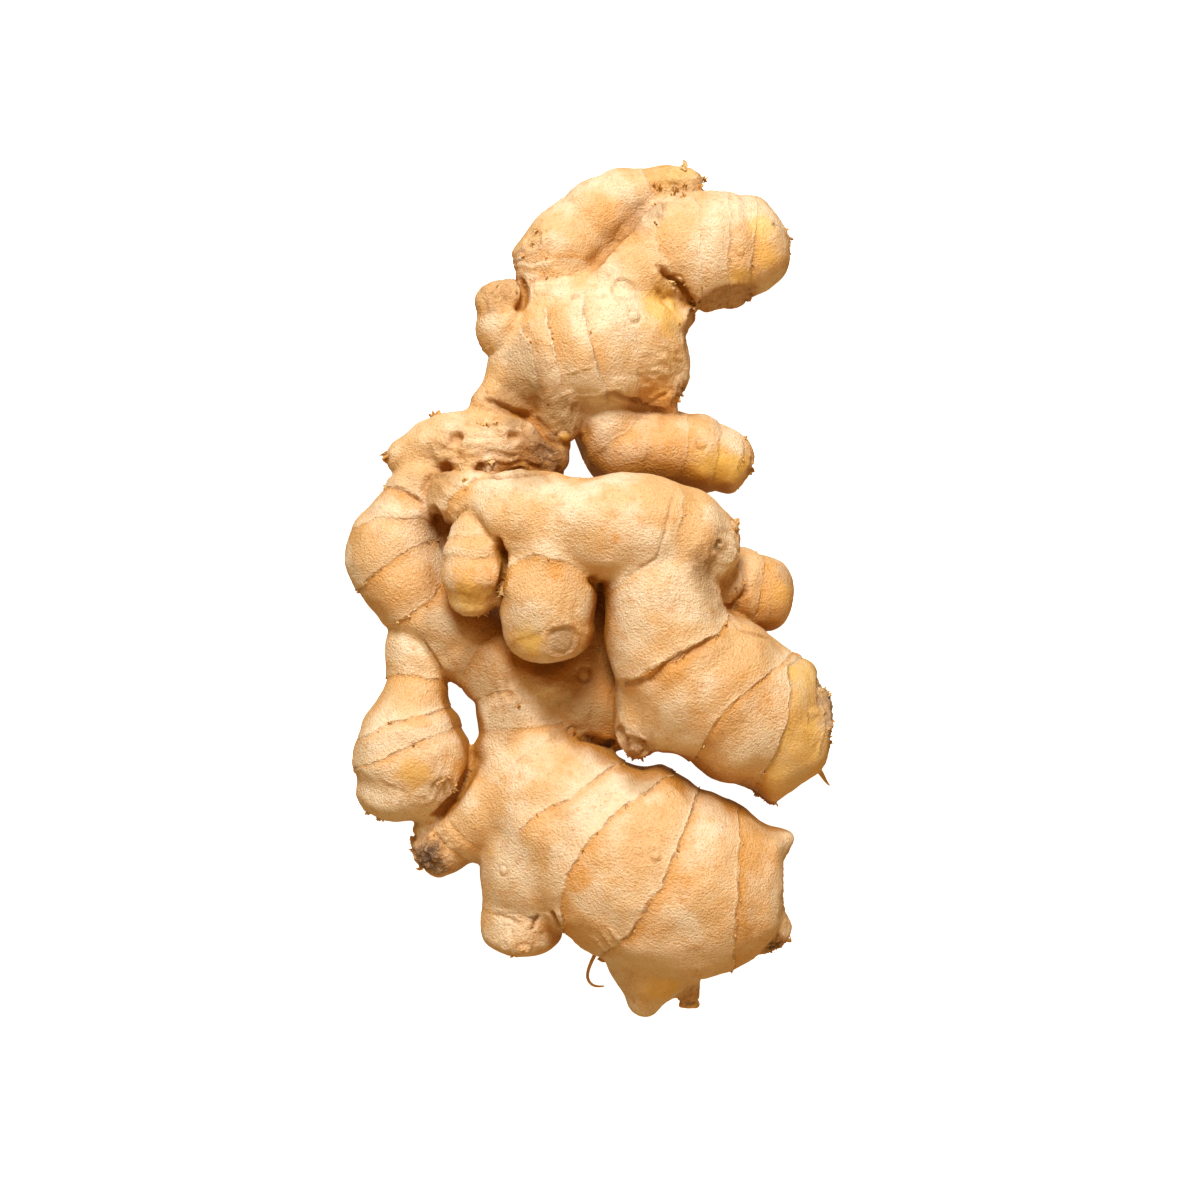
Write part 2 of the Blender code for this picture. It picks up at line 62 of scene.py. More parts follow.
mm = 0.001
rootShift = np.array([-0.8712, -0.4893, 0.9])  # mm from the fingers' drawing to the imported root

# The root's fingers, in mm: x, y, z and half width at each station, from base to tip. rings are growth
# rings: mm along it, how dark the crack is, how pale the lip, how far it leans and how far it bows. Kin flow
# into one another, and a finger without kin is parted from all others by a crease.
fingers = {
    "oldJoint": dict(
        stations=[(-39.5, 28, 16, 4.5), (-33.5, 30, 16, 7.6), (-25, 30.5, 17, 9), (-16, 29.6, 16, 8.8),
                  (-9.6, 27.6, 15, 6.9)],
        rings=[(7, 0.15, 0, 0, 0), (12.5, 0.15, 0, 0, 0), (18, 0.2, 0, 0, 0), (24, 0.3, 0, 0, 0)],
        kin="old"),
    "oldJointPeak": dict(
        stations=[(-30, 29, 16, 7), (-32, 34, 17, 4.8), (-33, 36.5, 17, 2.8)], kin="old"),
    "upperNeck": dict(
        stations=[(-25, 31, 17, 7.5), (-20, 38, 17, 6), (-13, 45, 16.5, 9)],
        rings=[(5, 0.4, 0.1, 0, 0), (9.5, 0.3, 0.1, 0, 0)]),
    "upperHand": dict(
        stations=[(-14.5, 44, 17, 8), (-11, 46.5, 17, 10.8), (-5, 50, 16, 14.2), (4, 52.3, 15, 14),
                  (11, 51, 14.5, 12.6), (14.8, 49.4, 14.5, 10.4)],
        rings=[(-1.8, 0.4, 0.9, 0.18, 0), (1.7, 0.4, 1, -0.28, -0.001), (6.9, 0.4, 1, -0.25, -0.002),
               (14.8, 0.5, 0.9, -0.08, 0.01), (25.2, 0.05, 0.35, 0.33, 0)], kin="upper"),
    "upperHandHeel": dict(
        stations=[(10, 51, 15, 8), (14, 45.5, 15, 7.4), (15.5, 42.8, 15, 5.8)], kin="upper"),
    "upperHandRim": dict(
        stations=[(12, 55.5, 15, 7), (17.6, 57.8, 16, 4.2)], kin="upper"),
    "upperHandBud": dict(
        stations=[(-6, 46, 17.5, 9.5), (-7, 38.8, 18, 6.4), (-6.2, 34.2, 18.6, 3.6),
                  (-5.7, 32.6, 18.8, 2.2)], kin="upper"),
    "crownFinger": dict(
        stations=[(-6, 58, 16, 9.6), (-8.2, 64.5, 15, 7.6), (-7.6, 70.2, 14, 9.4), (-4.2, 73.6, 13, 8.5),
                  (-0.2, 76.9, 12.5, 7.8), (5.6, 81.2, 12.5, 6.6), (11.4, 84.6, 13, 4.6),
                  (16.4, 86.2, 14, 3.3), (21, 86.2, 15, 2.6)],
        rings=[(6.4, 0.4, 0.2, -0.14, 0), (10.4, 0.5, 0.3, 0.5, 0), (22, 0.05, 0.25, 0, 0),
               (31, 0.1, 0.15, 0, 0), (38, 0.4, 0.4, 0, 0)], kin="upper"),
    "crownThumb": dict(
        stations=[(4, 58, 15.5, 10.5), (10, 65.8, 15, 9.2), (16, 71, 13.8, 11), (22.5, 71.4, 12.6, 12.4),
                  (30.5, 71.8, 11.7, 11.8), (35.6, 73.2, 11.7, 9)],
        rings=[(14.3, 0.35, 0.3, -0.12, 0.027), (23, 0.08, 0.5, 0.03, 0.002),
               (29.4, 0.08, 0.55, -0.04, 0.004), (35.3, 0.35, 0.5, -0.26, 0.009)], kin="upper"),
    "sideBud": dict(
        stations=[(-11.5, 51, 17, 7), (-17.5, 54.5, 17.5, 6.8), (-19, 60.3, 18, 5.5)],
        rings=[(7, 0.3, 0.2, 0, 0), (11, 0.3, 0.1, 0, 0)]),
    "hangingFinger": dict(
        stations=[(0.5, 42.5, 14, 6.5), (3.2, 35.4, 12.5, 7.7), (7.4, 30.6, 11.5, 8.4), (15, 30, 11, 8.4),
                  (23.5, 28.4, 10.5, 8.5), (29.2, 26.9, 10.5, 6.7)],
        rings=[(11, 0.1, 0.3, 0, 0), (18, 0.12, 0.3, 0, 0), (26.5, 0.2, 0.3, 0.1, 0),
               (33.2, 0.3, 0.35, 0.12, 0), (38.4, 0.35, 0.3, 0.12, 0)]),
    "leftArm": dict(
        stations=[(-34, 27, 16, 7), (-37.4, 20.5, 16, 6.3), (-41, 12.5, 14, 9.6), (-41, 5, 12.5, 11),
                  (-35.6, -2, 12, 10.6), (-29.5, -7.5, 12, 10.3), (-22.8, -12.5, 12, 10),
                  (-17, -19, 12, 9.4), (-15.3, -27, 12, 9.2)],
        rings=[(7.4, 0.8, 0.3, 0.13, 0.033), (11.4, 0.45, 0.3, 0.34, 0.029), (20.8, 0.65, 0.3, 0.54, -0.01),
               (34.3, 0.55, 0.3, 0.03, -0.026), (48.6, 0.45, 0.2, 0.01, 0.03),
               (60.4, 0.45, 0.5, -0.28, -0.004)], kin="lower"),
    "leftBulb": dict(
        stations=[(-36.5, -9, 12, 7.5), (-36.8, -16.5, 12, 6.6), (-37.8, -22.4, 12, 7.8),
                  (-38.2, -28.7, 12, 11), (-38.4, -35.5, 11.8, 12.2), (-40.2, -41, 11.5, 11.4),
                  (-41.6, -44.4, 11.5, 8.8)],
        rings=[(8.8, 0.6, 0.3, 0.09, 0.03), (17.7, 0.6, 0.5, 0.32, 0.01), (23, 0.55, 0.5, 0.6, 0.03),
               (32.5, 0.25, 0.1, 0, 0)]),
    "underJoint": dict(
        stations=[(-14, -21, 12, 8.5), (-7, -21, 11.5, 9), (0, -23, 11, 9.2), (5, -25, 11, 8.4)],
        rings=[(7, 0.2, 0.1, 0, 0), (14, 0.3, 0.1, 0, 0)], kin="lower"),
    "underFinger": dict(
        stations=[(-3, -21, 11.5, 8.5), (-1, -11, 12, 7.4), (0, -2, 13, 7.6), (0, 3, 13.5, 6.6)],
        rings=[(10, 0.2, 0.1, 0, 0), (18, 0.2, 0.1, 0, 0)], kin="lower"),
    "underBud": dict(
        stations=[(-27, 26, 15, 7), (-28.5, 17, 12.5, 6.6), (-28.5, 9.5, 11.5, 5.4)]),
    "lowerHand": dict(
        stations=[(-15.3, -26, 12, 9.2), (-13, -34.5, 13, 11.8), (-7.8, -44.2, 14.5, 15.8),
                  (2, -53.4, 15.7, 19.2), (11.5, -59.2, 16.4, 20.2), (21, -62.6, 16, 19.5),
                  (29.5, -63.8, 14.5, 17.1), (33.2, -64.3, 14, 14.5)],
        rings=[(3.8, 0.55, 0.4, -0.24, 0), (9.5, 0.2, 0.1, 0.2, 0), (21.5, 0.6, 0.6, -0.2, 0.005),
               (31.8, 0.75, 0.8, -0.03, 0.015), (48, 0.7, 0.9, -0.08, -0.005),
               (61.2, 0.6, 0.6, 0.11, 0.006)], kin="lower"),
    "lowerLeftStub": dict(
        stations=[(-18, -43, 12, 9.8), (-24.6, -48, 10.5, 8.8), (-31.6, -54, 9, 6.8),
                  (-34.6, -56.4, 8.6, 5.4)],
        rings=[(11, 0.2, 0.2, 0, 0), (15.5, 0.5, 0.3, 0, 0)], kin="lower"),
    "lowerFoot": dict(
        stations=[(-7, -51, 14.5, 14.6), (-12.5, -60, 12.5, 11.2), (-14.6, -67.5, 10.5, 8.8),
                  (-14.8, -73.4, 9.6, 8.3)],
        rings=[(17.1, 0.15, 0.2, 0.11, 0.014)], kin="lower"),
    "lowerPoint": dict(
        stations=[(14, -70, 13, 14), (12.4, -80, 11, 9.8), (11, -87, 10, 4)], kin="lower"),
    "lowerBrokenRoot": dict(
        stations=[(19, -77, 11, 6), (20.4, -83.5, 10, 2.8), (20.7, -87.2, 9.5, 2.1)], kin="lower"),
    "lowerCorner": dict(
        stations=[(28, -65, 12, 10.5), (35.5, -71, 11, 6.6), (39, -73.2, 11, 4.2)], kin="lower"),
    "lowerShoulder": dict(
        stations=[(29, -57, 14, 10), (36.5, -54.5, 14, 5.5), (39.5, -53.5, 14, 2.8)], kin="lower"),
    "middleHand": dict(
        stations=[(-29, 20, 21, 6), (-23, 17.5, 25, 7), (-16, 15.6, 28, 8.8), (-6.5, 14.5, 29.5, 10),
                  (3, 13.4, 30, 11), (12.5, 11.8, 29, 11.6), (19.5, 10.3, 27, 10.6), (23.2, 9.2, 25.5, 8.6)],
        rings=[(5, 0.7, 0.1, -0.4, 0.001), (22.8, 0.4, 0.3, -0.47, 0.016), (47.4, 0.3, 0.7, -0.01, -0.006)],
        kin="middle"),
    "middleKnob": dict(
        stations=[(19, 14.5, 25.5, 6.4), (27.4, 13.2, 24, 3.6)], kin="middle"),
    "middleSmallFinger": dict(
        stations=[(-21, 16, 25.5, 7), (-23.6, 9.5, 27.5, 6.4), (-24.6, 2, 28, 6.8), (-25, -1, 27, 5.4)],
        rings=[(6.7, 0.35, 0.3, 0.39, -0.03), (10.5, 0.4, 0.2, 0.13, -0.019), (17, 0.3, 0.3, 0, 0)]),
    "middleFinger": dict(
        stations=[(-7.5, 15, 29.5, 9.6), (-8.4, 7.5, 29.4, 9), (-9.2, -1, 28.4, 9.8), (-9, -7.5, 27, 9.9),
                  (-8.8, -10.2, 26.5, 8.8)],
        rings=[(7.5, 0.6, 0.5, 0.03, 0.05)], kin="middle"),
    "rightLobe": dict(
        stations=[(11.5, 12.5, 29, 11), (13.4, 5, 28.8, 11), (14.6, -2, 28, 11.6), (15.8, -9, 26.5, 12.8),
                  (19.2, -15.6, 24, 14.9), (25.9, -21.2, 20, 16.3), (34.4, -26.2, 16.5, 16.2),
                  (41, -30.2, 15, 14.2), (45.8, -31.4, 14.6, 11.2)],
        rings=[(6.8, 0.4, 0.3, 0.21, 0.019), (23.1, 0.9, 0.5, -0.02, 0.015), (37.5, 0.6, 0.7, -0.25, 0.035),
               (52, 0.3, 0.7, 0.39, -0.002)], kin="middle"),
    "rightLobePoint": dict(
        stations=[(32, -34, 14, 8), (37.3, -42.5, 11, 3)], kin="middle"),
    "rightLobeStub": dict(
        stations=[(12.5, -20, 23, 8), (9.4, -28, 21, 5.2), (8.8, -31.4, 20.5, 4)], kin="middle"),
    "rightBackFinger": dict(
        stations=[(21, 3, 19, 7.5), (28.5, 0.8, 15, 8.6), (34.3, -0.6, 13, 8.6), (36.9, -1, 12.5, 7.4)],
        rings=[(8, 0.3, 0.1, 0, 0), (14, 0.4, 0.2, 0, 0)]),
}

skinRelief = dict(
    gridMm=0.43,           # spacing of the skin mesh while it is shaped
    mergeMm=0.01,          # doubles of the solid's loose triangles
    smoothPasses=5,        # rounds the facets of the solid it starts from
    ringLip=0.42,          # mm that the skin stands up just before a ring
    ringLipWidth=1.3,
    ringDrop=0.36,         # mm that it sinks just after
    ringDropWidth=1.1,
    ringsApart=1.5,        # mm at least between two rings, where they lean together
    ringSway=(0.9, 0.55),  # mm that a ring wanders, slowly and quickly
    endLength=14,          # mm past the first and the last ring that still swell
    swell=0.2,             # mm between two rings
    creaseDepth=1.2,       # mm, where two fingers press against each other
    creaseWidth=0.9,
    wrinkle=0.04,          # mm, fine folds along a finger
    deepWrinkle=0.55,      # mm, coarse folds where the root is old or dried
    scale=0.42,            # mm, step between the dry scales of a tip
    scaleSteps=2.6,        # such steps while the noise goes up by 1
    lump=0.3,              # mm, slow unevenness
    mostTriangles=196000,
)

# What stands on or in the skin, in mm: x, y, half width, and height or depth. Slits are x, y, turn in
# degrees, half length and depth.
marks = dict(
    buds=[(30.1, 61.8, 1.6, 0.5), (4.9, 72.1, 1.5, 1.1), (8.7, 56.6, 1.4, 0.6), (-1.6, -17.5, 1.4, 0.5),
          (13.1, -54.7, 1.2, 0.5), (29.5, 13.1, 1.5, 0.4), (-14.4, -75.5, 1.5, 0.6), (-6, 31.6, 1.5, 0.7),
          (22.8, 30.4, 1.1, 0.35), (46.9, -19.2, 1.7, 0.6), (-4.3, -29.7, 0.9, 1), (17.8, 64.6, 1.3, 0.8),
          (-6.8, 24.6, 1, 0.6), (-18.5, -58.5, 1.1, 0.35), (30.9, 70.3, 0.9, 0.3)],
    pits=[(-28.2, 31.6, 2.2, 1.5), (-30.6, 25.1, 2.2, 1.7), (-23.2, 24.5, 2, 1.6), (-16.5, 31.6, 1.8, 1.1),
          (25.7, 9.3, 1.1, 0.7), (-3.4, 60.8, 0.9, 0.4), (-22.2, 35, 1.8, 0.6), (29.6, -3.2, 1.6, 0.6),
          (22.5, 14.8, 0.8, 0.4), (38.1, 76.5, 0.8, 0.3), (-26.6, 20.4, 1, 0.6)],
    scars=[(-6, -10.6, 3.5, 0.3), (6.4, 62.5, 2.3, 0.42), (-12.5, 73, 2.4, 0.3), (-31.4, -41.1, 2.6, 0.1),
           (8.8, -32.6, 2.9, 0.4), (46.9, -19.2, 2.2, 0.25), (-1.6, -17.5, 2, 0.22)],
    slits=[(15, 60.5, -50, 3.5, 0.5), (-13.5, 71.5, 25, 2.6, 0.35), (-10.6, 74, 40, 2.2, 0.3),
           (10.2, 35.6, -5, 3.2, 0.3), (-39.6, -44.2, 85, 3.6, 0.3), (13, 40, 20, 4, 0.5),
           (-24, 46, 60, 2.5, 0.3)],
)

# Broken ends, hollowed by a ball: x, y, z and radius in mm, and how brown the hollow is.
hollows = [(30, 53.2, 18, 10.8, 0.7), (53, -61.2, 15, 13.2, 0.45), (73.5, -31, 14, 24, 0),
           (3.2, -31.8, 25, 4.6, 0.5)]

# Small moves of the outline: x, y, half width and the move in x and y, in mm.
pulls = [
    (2, 86.2, 9, -0.9, 1.4), (-15.2, 76.1, 5, 1.3, -0.7), (-16.7, 70.7, 3, -0.9, 0),
    (32.9, 82, 8, 0.3, 1.6), (41.1, 73.6, 8, 0.8, 0.1), (33.9, 59.7, 5, 0, 0.6),
    (20.9, 57.6, 3.2, 2.2, 0.3), (19.8, 53.7, 3.2, -1.5, 0), (20.1, 39.6, 4, -1.1, 0.4),
    (-21.3, 49.5, 5, -0.9, 0), (-30.8, 38.7, 6, 0, -1.6), (-39, 34.5, 6, 0.9, -0.9),
    (-46.9, 18.6, 6, 0.8, -0.9), (-1.2, 25.3, 9, 0, -1.3), (-6.2, 27, 4, 1.5, 0), (0.1, 27.6, 4, -1, -0.3),
    (-46.9, -4.3, 7, 2.1, 0), (-46.7, -22.2, 5, 1.1, -0.2), (-38.7, -49.7, 5, 0.2, 1.4),
    (-35.8, -52.8, 4, 0, 1.5), (39.6, -52.6, 4, 2.4, 0.7), (32, -45.9, 8, 0.5, 1.4),
    (16.3, -39.8, 7, 0, 2.4), (11, -33.1, 6, 0, -1.9), (37.3, -43.4, 3.4, 0.2, -1.5),
    (45.3, -42.1, 5, -0.2, 1.9), (41.7, -11, 5, -0.4, -1.3), (40.8, -72.3, 5, 0.5, -0.3),
    (11.4, -89.1, 4, 0, -0.6),
]

# Lines in the skin as seen from above: depth in mm (raised if negative), how wide it is on its left and on
# its right, how dark (pale if negative), and its points.
seams = [
    # between the two crown fingers
    (3.9, 1.9, 0.7, 1, [(-1.2, 66.3), (2.4, 68.1), (4.1, 70.2), (5.8, 72.3), (8.3, 74.4), (9.1, 75.9),
        (10.8, 78.2), (12.5, 79.9), (13.8, 82)]),
    # under the crown thumb
    (1.7, 0.9, 0.6, 1, [(12.9, 68.1), (15.4, 65.2), (17.5, 64.4), (19.2, 62.7), (20.9, 60.6),
        (22.6, 58.9)]),
    # beside the side bud
    (1.4, 0.7, 0.7, 1, [(-15.6, 65.6), (-14, 62.7), (-14.6, 59.7), (-16.1, 58.1)]),
    # above the hanging finger
    (1.5, 0.8, 0.5, 1, [(1.2, 39.6), (4.5, 40.8), (7.5, 40), (10.4, 39.4), (12.9, 37.9), (17.5, 37.3)]),
    # round the old joint
    (1.4, 0.5, 0.7, 1, [(-23.6, 40), (-21.1, 39.2), (-16.9, 37.5), (-13.5, 36.2), (-11.4, 34.3),
        (-9.8, 32.2), (-7.9, 30.6), (-6, 29.5)]),
    (0.8, 0.6, 0.6, 0.7, [(-25.3, 23.6), (-21.9, 23), (-19, 22.8), (-14.8, 23.2), (-9.6, 24),
        (-6.4, 24.9)]),
    # beside the small fingers
    (2.4, 0.85, 0.85, 1, [(-19.6, 11.4), (-18, 8.1), (-17.3, 5.6), (-18.2, 2.2), (-19, -0.3)]),
    (1.6, 0.8, 0.8, 1, [(-0.5, 3), (0.9, -0.7), (0.7, -4.5)]),
    (1.6, 1.1, 1.1, 1, [(-33.3, 17.7), (-32, 14.8), (-29.9, 11.4)]),
    # between the left bulb and the lower stub
    (1.8, 1.6, 0.7, 1, [(-24.9, -36), (-27.4, -40.8), (-31.6, -45.5), (-33.7, -47.6)]),
    # beside the lower foot
    (1.5, 0.8, 0.8, 0.9, [(-8.7, -66.7), (-7.2, -69.2), (-6.4, -71.7)]),
    # at the neck of the left bulb
    (0.7, 0.4, 0.4, 0.8, [(-35.8, -10.4), (-34.5, -12.1), (-32.4, -15), (-30.3, -18.4)]),
    # right knob
    (0.7, 0.45, 0.45, 0.6, [(29.5, 11.7), (29.9, 8.5), (31.8, 2.6), (32, -0.3), (29.7, -2.4), (28, -4.5)]),
    (0.6, 0.4, 0.4, 0.6, [(27.2, -4.5), (30.3, -8.3), (34.5, -9.6), (37.1, -10.6)]),
    # hollow above the lower joint
    (1.5, 0.9, 0.9, 0.9, [(-3.3, -31), (-0.1, -31.8), (3, -32.4), (5.1, -31.4)]),
    # cracks
    (0.6, 0.25, 1.8, 0.9, [(3.9, -18.6), (7.7, -18.6), (11.9, -18), (14.6, -15), (18.8, -12.5), (22, -11.2),
        (26.1, -8.7)]),
    (0.6, 0.35, 0.35, 0.9, [(-29.5, 13.3), (-27.8, 15.6), (-25.7, 17.1)]),
    (0.45, 0.3, 0.3, 0.8, [(-21.1, -68.1), (-18, -68.6), (-14.4, -70.2)]),
    (0.6, 0.35, 0.35, 0.9, [(-11.2, -67.5), (-12.9, -71.7)]),
    (0.5, 0.45, 0.45, 0.8, [(-4.5, 60.2), (-2.8, 61.4)]),
    (0.5, 0.35, 0.35, 0.8, [(-42.5, 21.3), (-40, 20.9), (-37.9, 19.6), (-34.5, 17.5)]),
    (0.35, 0.35, 0.35, 0.5, [(17.1, 21.7), (15.9, 15.9), (14.6, 11), (12.9, 6.2), (8.7, 3.5), (4.5, 0.5)]),
    # raised threads
    (-0.2, 0.3, 0.3, -0.5, [(-7, 44.4), (-2.2, 45.7), (0.5, 46.1)]),
    (-0.35, 0.3, 0.3, -0.5, [(1.8, -70.2), (4.3, -74.2)]),
    (-0.35, 0.3, 0.3, -0.5, [(3.5, -69.4), (5.8, -73.2)]),
    (-0.35, 0.3, 0.3, -0.4, [(0.7, -71.9), (2.6, -75.1)]),
    (-0.3, 0.3, 0.3, -0.5, [(46.3, -17.1), (47.6, -23), (48.2, -29.3), (46.1, -36)]),
]

# Where the skin has changed: x, y, half width in mm and how strongly. A fifth number, third in its row, is a
# height, for what isn't on top.
patches = dict(
    fresh=[
        (35, 76, 3, 0.6), (31.2, 65, 2.8, 0.6), (36.4, 70, 2.8, 0.45), (14.5, 59, 5.5, 0.6),
        (15.5, 55.5, 3.5, 0.4), (25.3, 25.2, 4.5, 0.8), (30.3, 25.5, 3.5, 0.8), (-36.9, -38.5, 3.2, 0.5),
        (14.6, -83.5, 4.2, 1), (-12.8, -10.6, 3.6, 0.8), (-24.7, -2, 4.5, 0.75), (-6, 31.6, 1.7, 1),
        (12, -84, 3.5, 0.4), (17, 87, 4, 0.6), (40, -0.5, 3, 0.3), (4.9, 72.1, 1.6, 0.9),
        (10, 25, 7, 6, 0.45), (22, 22, 6, 6, 0.5), (-14, -77, 8, 2, 0.6), (44.3, -32, 3.6, 0.5),
        (43.8, -24, 3, 0.35),
    ],
    # golden skin, and in part painted shade on sides that face away from the light, as beside the crease
    # between the two crown fingers
    goldAndShade=[
        (4.1, 79.3, 5, 0.5), (7.9, 74.4, 4, 0.7), (-0.5, 81, 4, 0.3), (12.5, 40.6, 6, 0.8),
        (13.8, 60.2, 5, 0.4), (10.4, 30.6, 8, 0.5), (17.1, 27, 8, 0.6), (24, 25.3, 8, 0.7),
        (23, 31.6, 5, 0.4), (-36.9, -38.5, 4, 0.6), (-28.5, -38.7, 4, 0.4), (-3.3, -59.1, 3.6, 0.8),
        (-2.2, -54.5, 3.5, 0.5), (12.9, -72.3, 6.5, 0.55), (17.1, -60.8, 5, 0.4), (35, -56.2, 7, 0.5),
        (33.1, -66, 7, 0.45), (-6.4, -44, 4, 0.25), (13.5, -16.3, 6, 0.55), (10.4, -20.9, 5, 0.4),
        (29.3, -23.6, 6, 0.45), (33.5, -20.9, 5, 0.4), (-7.7, 3.9, 2.2, 0.8), (-21.7, 2.8, 3.5, 0.6),
        (4.9, 10.2, 1.5, 0.9), (-10.6, 15.9, 3, 0.3), (-6.4, 23.6, 3, 0.5), (38.1, 1.6, 6.5, 0.7),
        (40.8, -3, 5, 0.5), (32.4, 0.1, 4, 0.3), (-19, -20.9, 4, 0.35), (-40, -36.6, 5, 0.3),
        (31.4, 72.6, 6, 0.3), (34.5, 67.3, 6, 0.4), (-41.1, -2, 6, 0.3), (-35.8, 10.6, 5, 0.3),
        (6.6, 9.6, 6, 0.2), (23, -27.2, 5, 0.3), (-9.6, -71.3, 3, 0.4), (-13.8, -72.3, 4, 0.3),
        (2, -65, 4, 0.3), (20.9, -77.6, 8, 0.3), (-10.6, 67.3, 5, 0.4), (2, 69, 3, 0.5),
        (-30.3, 0.1, 3, 0.6), (-25.5, 1.5, 4, 0.8), (-19.5, -17, 4, 0.4), (12, 31, 7, 0.5),
        (43, -24, 4.5, 0.3), (43.5, -33, 4.5, 0.35), (-25.3, -12.9, 6, 0.3),
    ],
    dry=[
        (17.7, 86.8, 5.5, 0.4), (41.2, 73, 12, 4.2, 0.9), (-10.2, 28.5, 5.2, 0.95), (-14, 31.5, 6, 0.4),
        (18.5, 54.5, 17, 4, 0.6), (18, 41.5, 17, 3.2, 1), (29.8, 13, 2.6, 1), (50.5, -26, 18, 8.5, 0.85),
        (36.5, -43, 12, 3.8, 0.9), (34, 25.5, 11, 3.4, 0.85), (31, 0.5, 1.8, 0.8), (-34.2, -56.3, 4.4, 1),
        (-35, -55.5, 9, 5.2, 1), (-45.7, -46.1, 10, 3.6, 0.8), (-31.4, -41.1, 3.4, 0.6),
        (40.2, -63.3, 14, 4.5, 0.6), (37.9, -75.1, 4, 1), (2, -74.5, 12, 4, 0.8), (8.7, -33.3, 4.6, 1),
        (23, 6, 4, 0.6), (26, 0.5, 4.5, 0.5), (20.6, -86, 3, 0.8), (-24.8, -3.8, 27, 3.6, 0.5),
        (-19, 63, 4.6, 0.6), (-15.5, -75.5, 9, 4.2, 0.5), (-17, -22.3, 2.6, 0.5), (25.7, 9.3, 3.4, 0.4),
        (14.3, 64.4, 3, 0.4), (28, -1, 4, 0.4), (21.5, 58.6, 16, 2.4, 0.9),
    ],
    wrinkled=[
        (-22, 29, 12, 1), (-11, 28.5, 5.5, 1), (-20, 40, 5, 0.6), (-4, 38, 6.5, 0.7),
        (-17, -22, 3.6, 0.9), (-19, 62, 4.6, 0.8), (0, -74, 12, 5.5, 0.8), (-15, -74, 5, 0.8),
        (-9, 64, 6, 0.5), (4, 40, 4.5, 0.6), (16, 45, 7.5, 0.6), (26, 9, 6.5, 0.35), (-31, -41, 5.5, 0.6),
        (15, 62, 5.5, 0.7), (-34, -55, 6, 0.9), (39, -66, 14, 8, 0.6), (49, -27, 16, 8, 0.7),
        (8.7, -31, 20, 4.5, 0.8), (18, 86, 6, 0.5), (40, 72, 12, 5, 0.6), (-24, 0, 5, 0.4),
        (-9, -4, 7, 0.35), (28, 0, 6, 0.6), (-30, 18, 5, 0.6),
    ],
    grey=[
        (51, -27, 17, 7.5, 0.9), (49.5, -33, 14, 6, 0.8), (47.5, -19.5, 17, 4.5, 0.7),
        (-34.4, -56.5, 4, 0.5), (-6, -10.8, 3.4, 0.75), (39.5, -62, 15, 4.5, 0.9), (40.5, 3, 2.4, 0.6),
        (-9.4, 28, 4, 0.15),
    ],
    # painted shade where the fingers above shade the skin, as under the middle hand, partly browner skin
    shadeAndBrown=[
        (-14.8, 40, 6, 0.8), (-7.5, 36.5, 5.5, 0.8), (-14, 46.5, 6, 0.45), (-6.4, 31.6, 4, 0.6),
        (-11.5, 30.5, 4, 0.6), (1, -24.5, 7, 0.9), (-4.5, -27, 5.5, 0.6), (-23.2, -17, 6.5, 0.55),
        (-31.6, -8.5, 5, 0.55), (10, -40, 4, 0.6), (-31.6, 23.2, 4.5, 0.45), (-12.7, 23.2, 4.5, 0.5),
        (23, 2.2, 4.5, 0.5), (-18.5, -27.2, 5, 0.45), (9.5, 76, 3, 0.6), (12.5, 79, 3, 0.6),
        (5, 71.5, 3, 0.4),
    ],
    # painted light: places made paler where more light falls on them
    paintedLight=[
        (4.5, 40, 6.5, 1), (10.4, 36.5, 4.5, 0.7), (-35.8, 10.6, 5, 0.8), (-31.6, 6, 4, 0.8),
        (13.5, -77, 7, 1), (12, -82, 5, 0.6), (31.4, 4.5, 5, 0.7), (23, -44, 4.5, 0.7),
        (10.4, -22.5, 4.5, 0.6), (6.2, 6.4, 4, 0.5), (-2.2, 6.4, 4, 0.5), (6.2, -18.8, 3, 0.4),
    ],
    # dark dry skin and specks, and painted shade for the two in the hollow above the lower joint
    dark=[
        (38.1, 76.5, 0.8, 0.6), (18, 41.2, 17, 1.8, 0.8), (29.5, 13.1, 1.2, 0.9),
        (-34.4, -56.6, 3.2, 0.85), (37.9, -75.2, 2, 0.9), (-23.2, 24.5, 1.2, 0.9), (-28.2, 31.6, 1.1, 0.8),
        (-30.6, 25.1, 1, 0.7), (-0.5, -31.6, 1.7, 0.8), (3, -32.4, 1.9, 0.8), (-9.4, 28, 3, 0.4),
        (25.7, 9.3, 1.3, 0.6), (-12.4, -68.4, 0.9, 0.6), (20.5, -87.6, 10, 1.6, 0.7), (51, -24, 18, 3, 0.4),
        (29.6, -3.2, 1.3, 0.5),
    ],
)


def deselectAll():
    bpy.ops.object.select_all(action="DESELECT")


def makeActive(piece):
    deselectAll()
    piece.select_set(True)
    bpy.context.view_layer.objects.active = piece


def applyModifier(piece, kind, **settings):
    makeActive(piece)
    modifier = piece.modifiers.new(kind, kind)
    for key, value in settings.items():
        setattr(modifier, key, value)
    bpy.ops.object.modifier_apply(modifier=modifier.name)


def readPoints(piece):
    points = np.empty(len(piece.data.vertices) * 3, np.float32)
    piece.data.vertices.foreach_get("co", points)
    return points.reshape(-1, 3).astype(float) / mm


def writePoints(piece, points):
    piece.data.vertices.foreach_set("co", (points * mm).astype(np.float32).ravel())
    piece.data.update()


def readNormals(piece):
    normals = np.empty(len(piece.data.vertices) * 3, np.float32)
    piece.data.vertex_normals.foreach_get("vector", normals)
    return normals.reshape(-1, 3).astype(float)


def smoothStep(low, high, value):
    t = np.clip((value - low) / (high - low), 0, 1)
    return t * t * (3 - 2 * t)


# 1 where value is 0, and falling off softly on both sides
def hump(value, width):
    return np.exp(-(value / width) ** 2)


# How far each point is from a place, in its half widths.
def awayFrom(points, half, *place):
    return np.linalg.norm(points - spotAt(*place), axis=1) / half


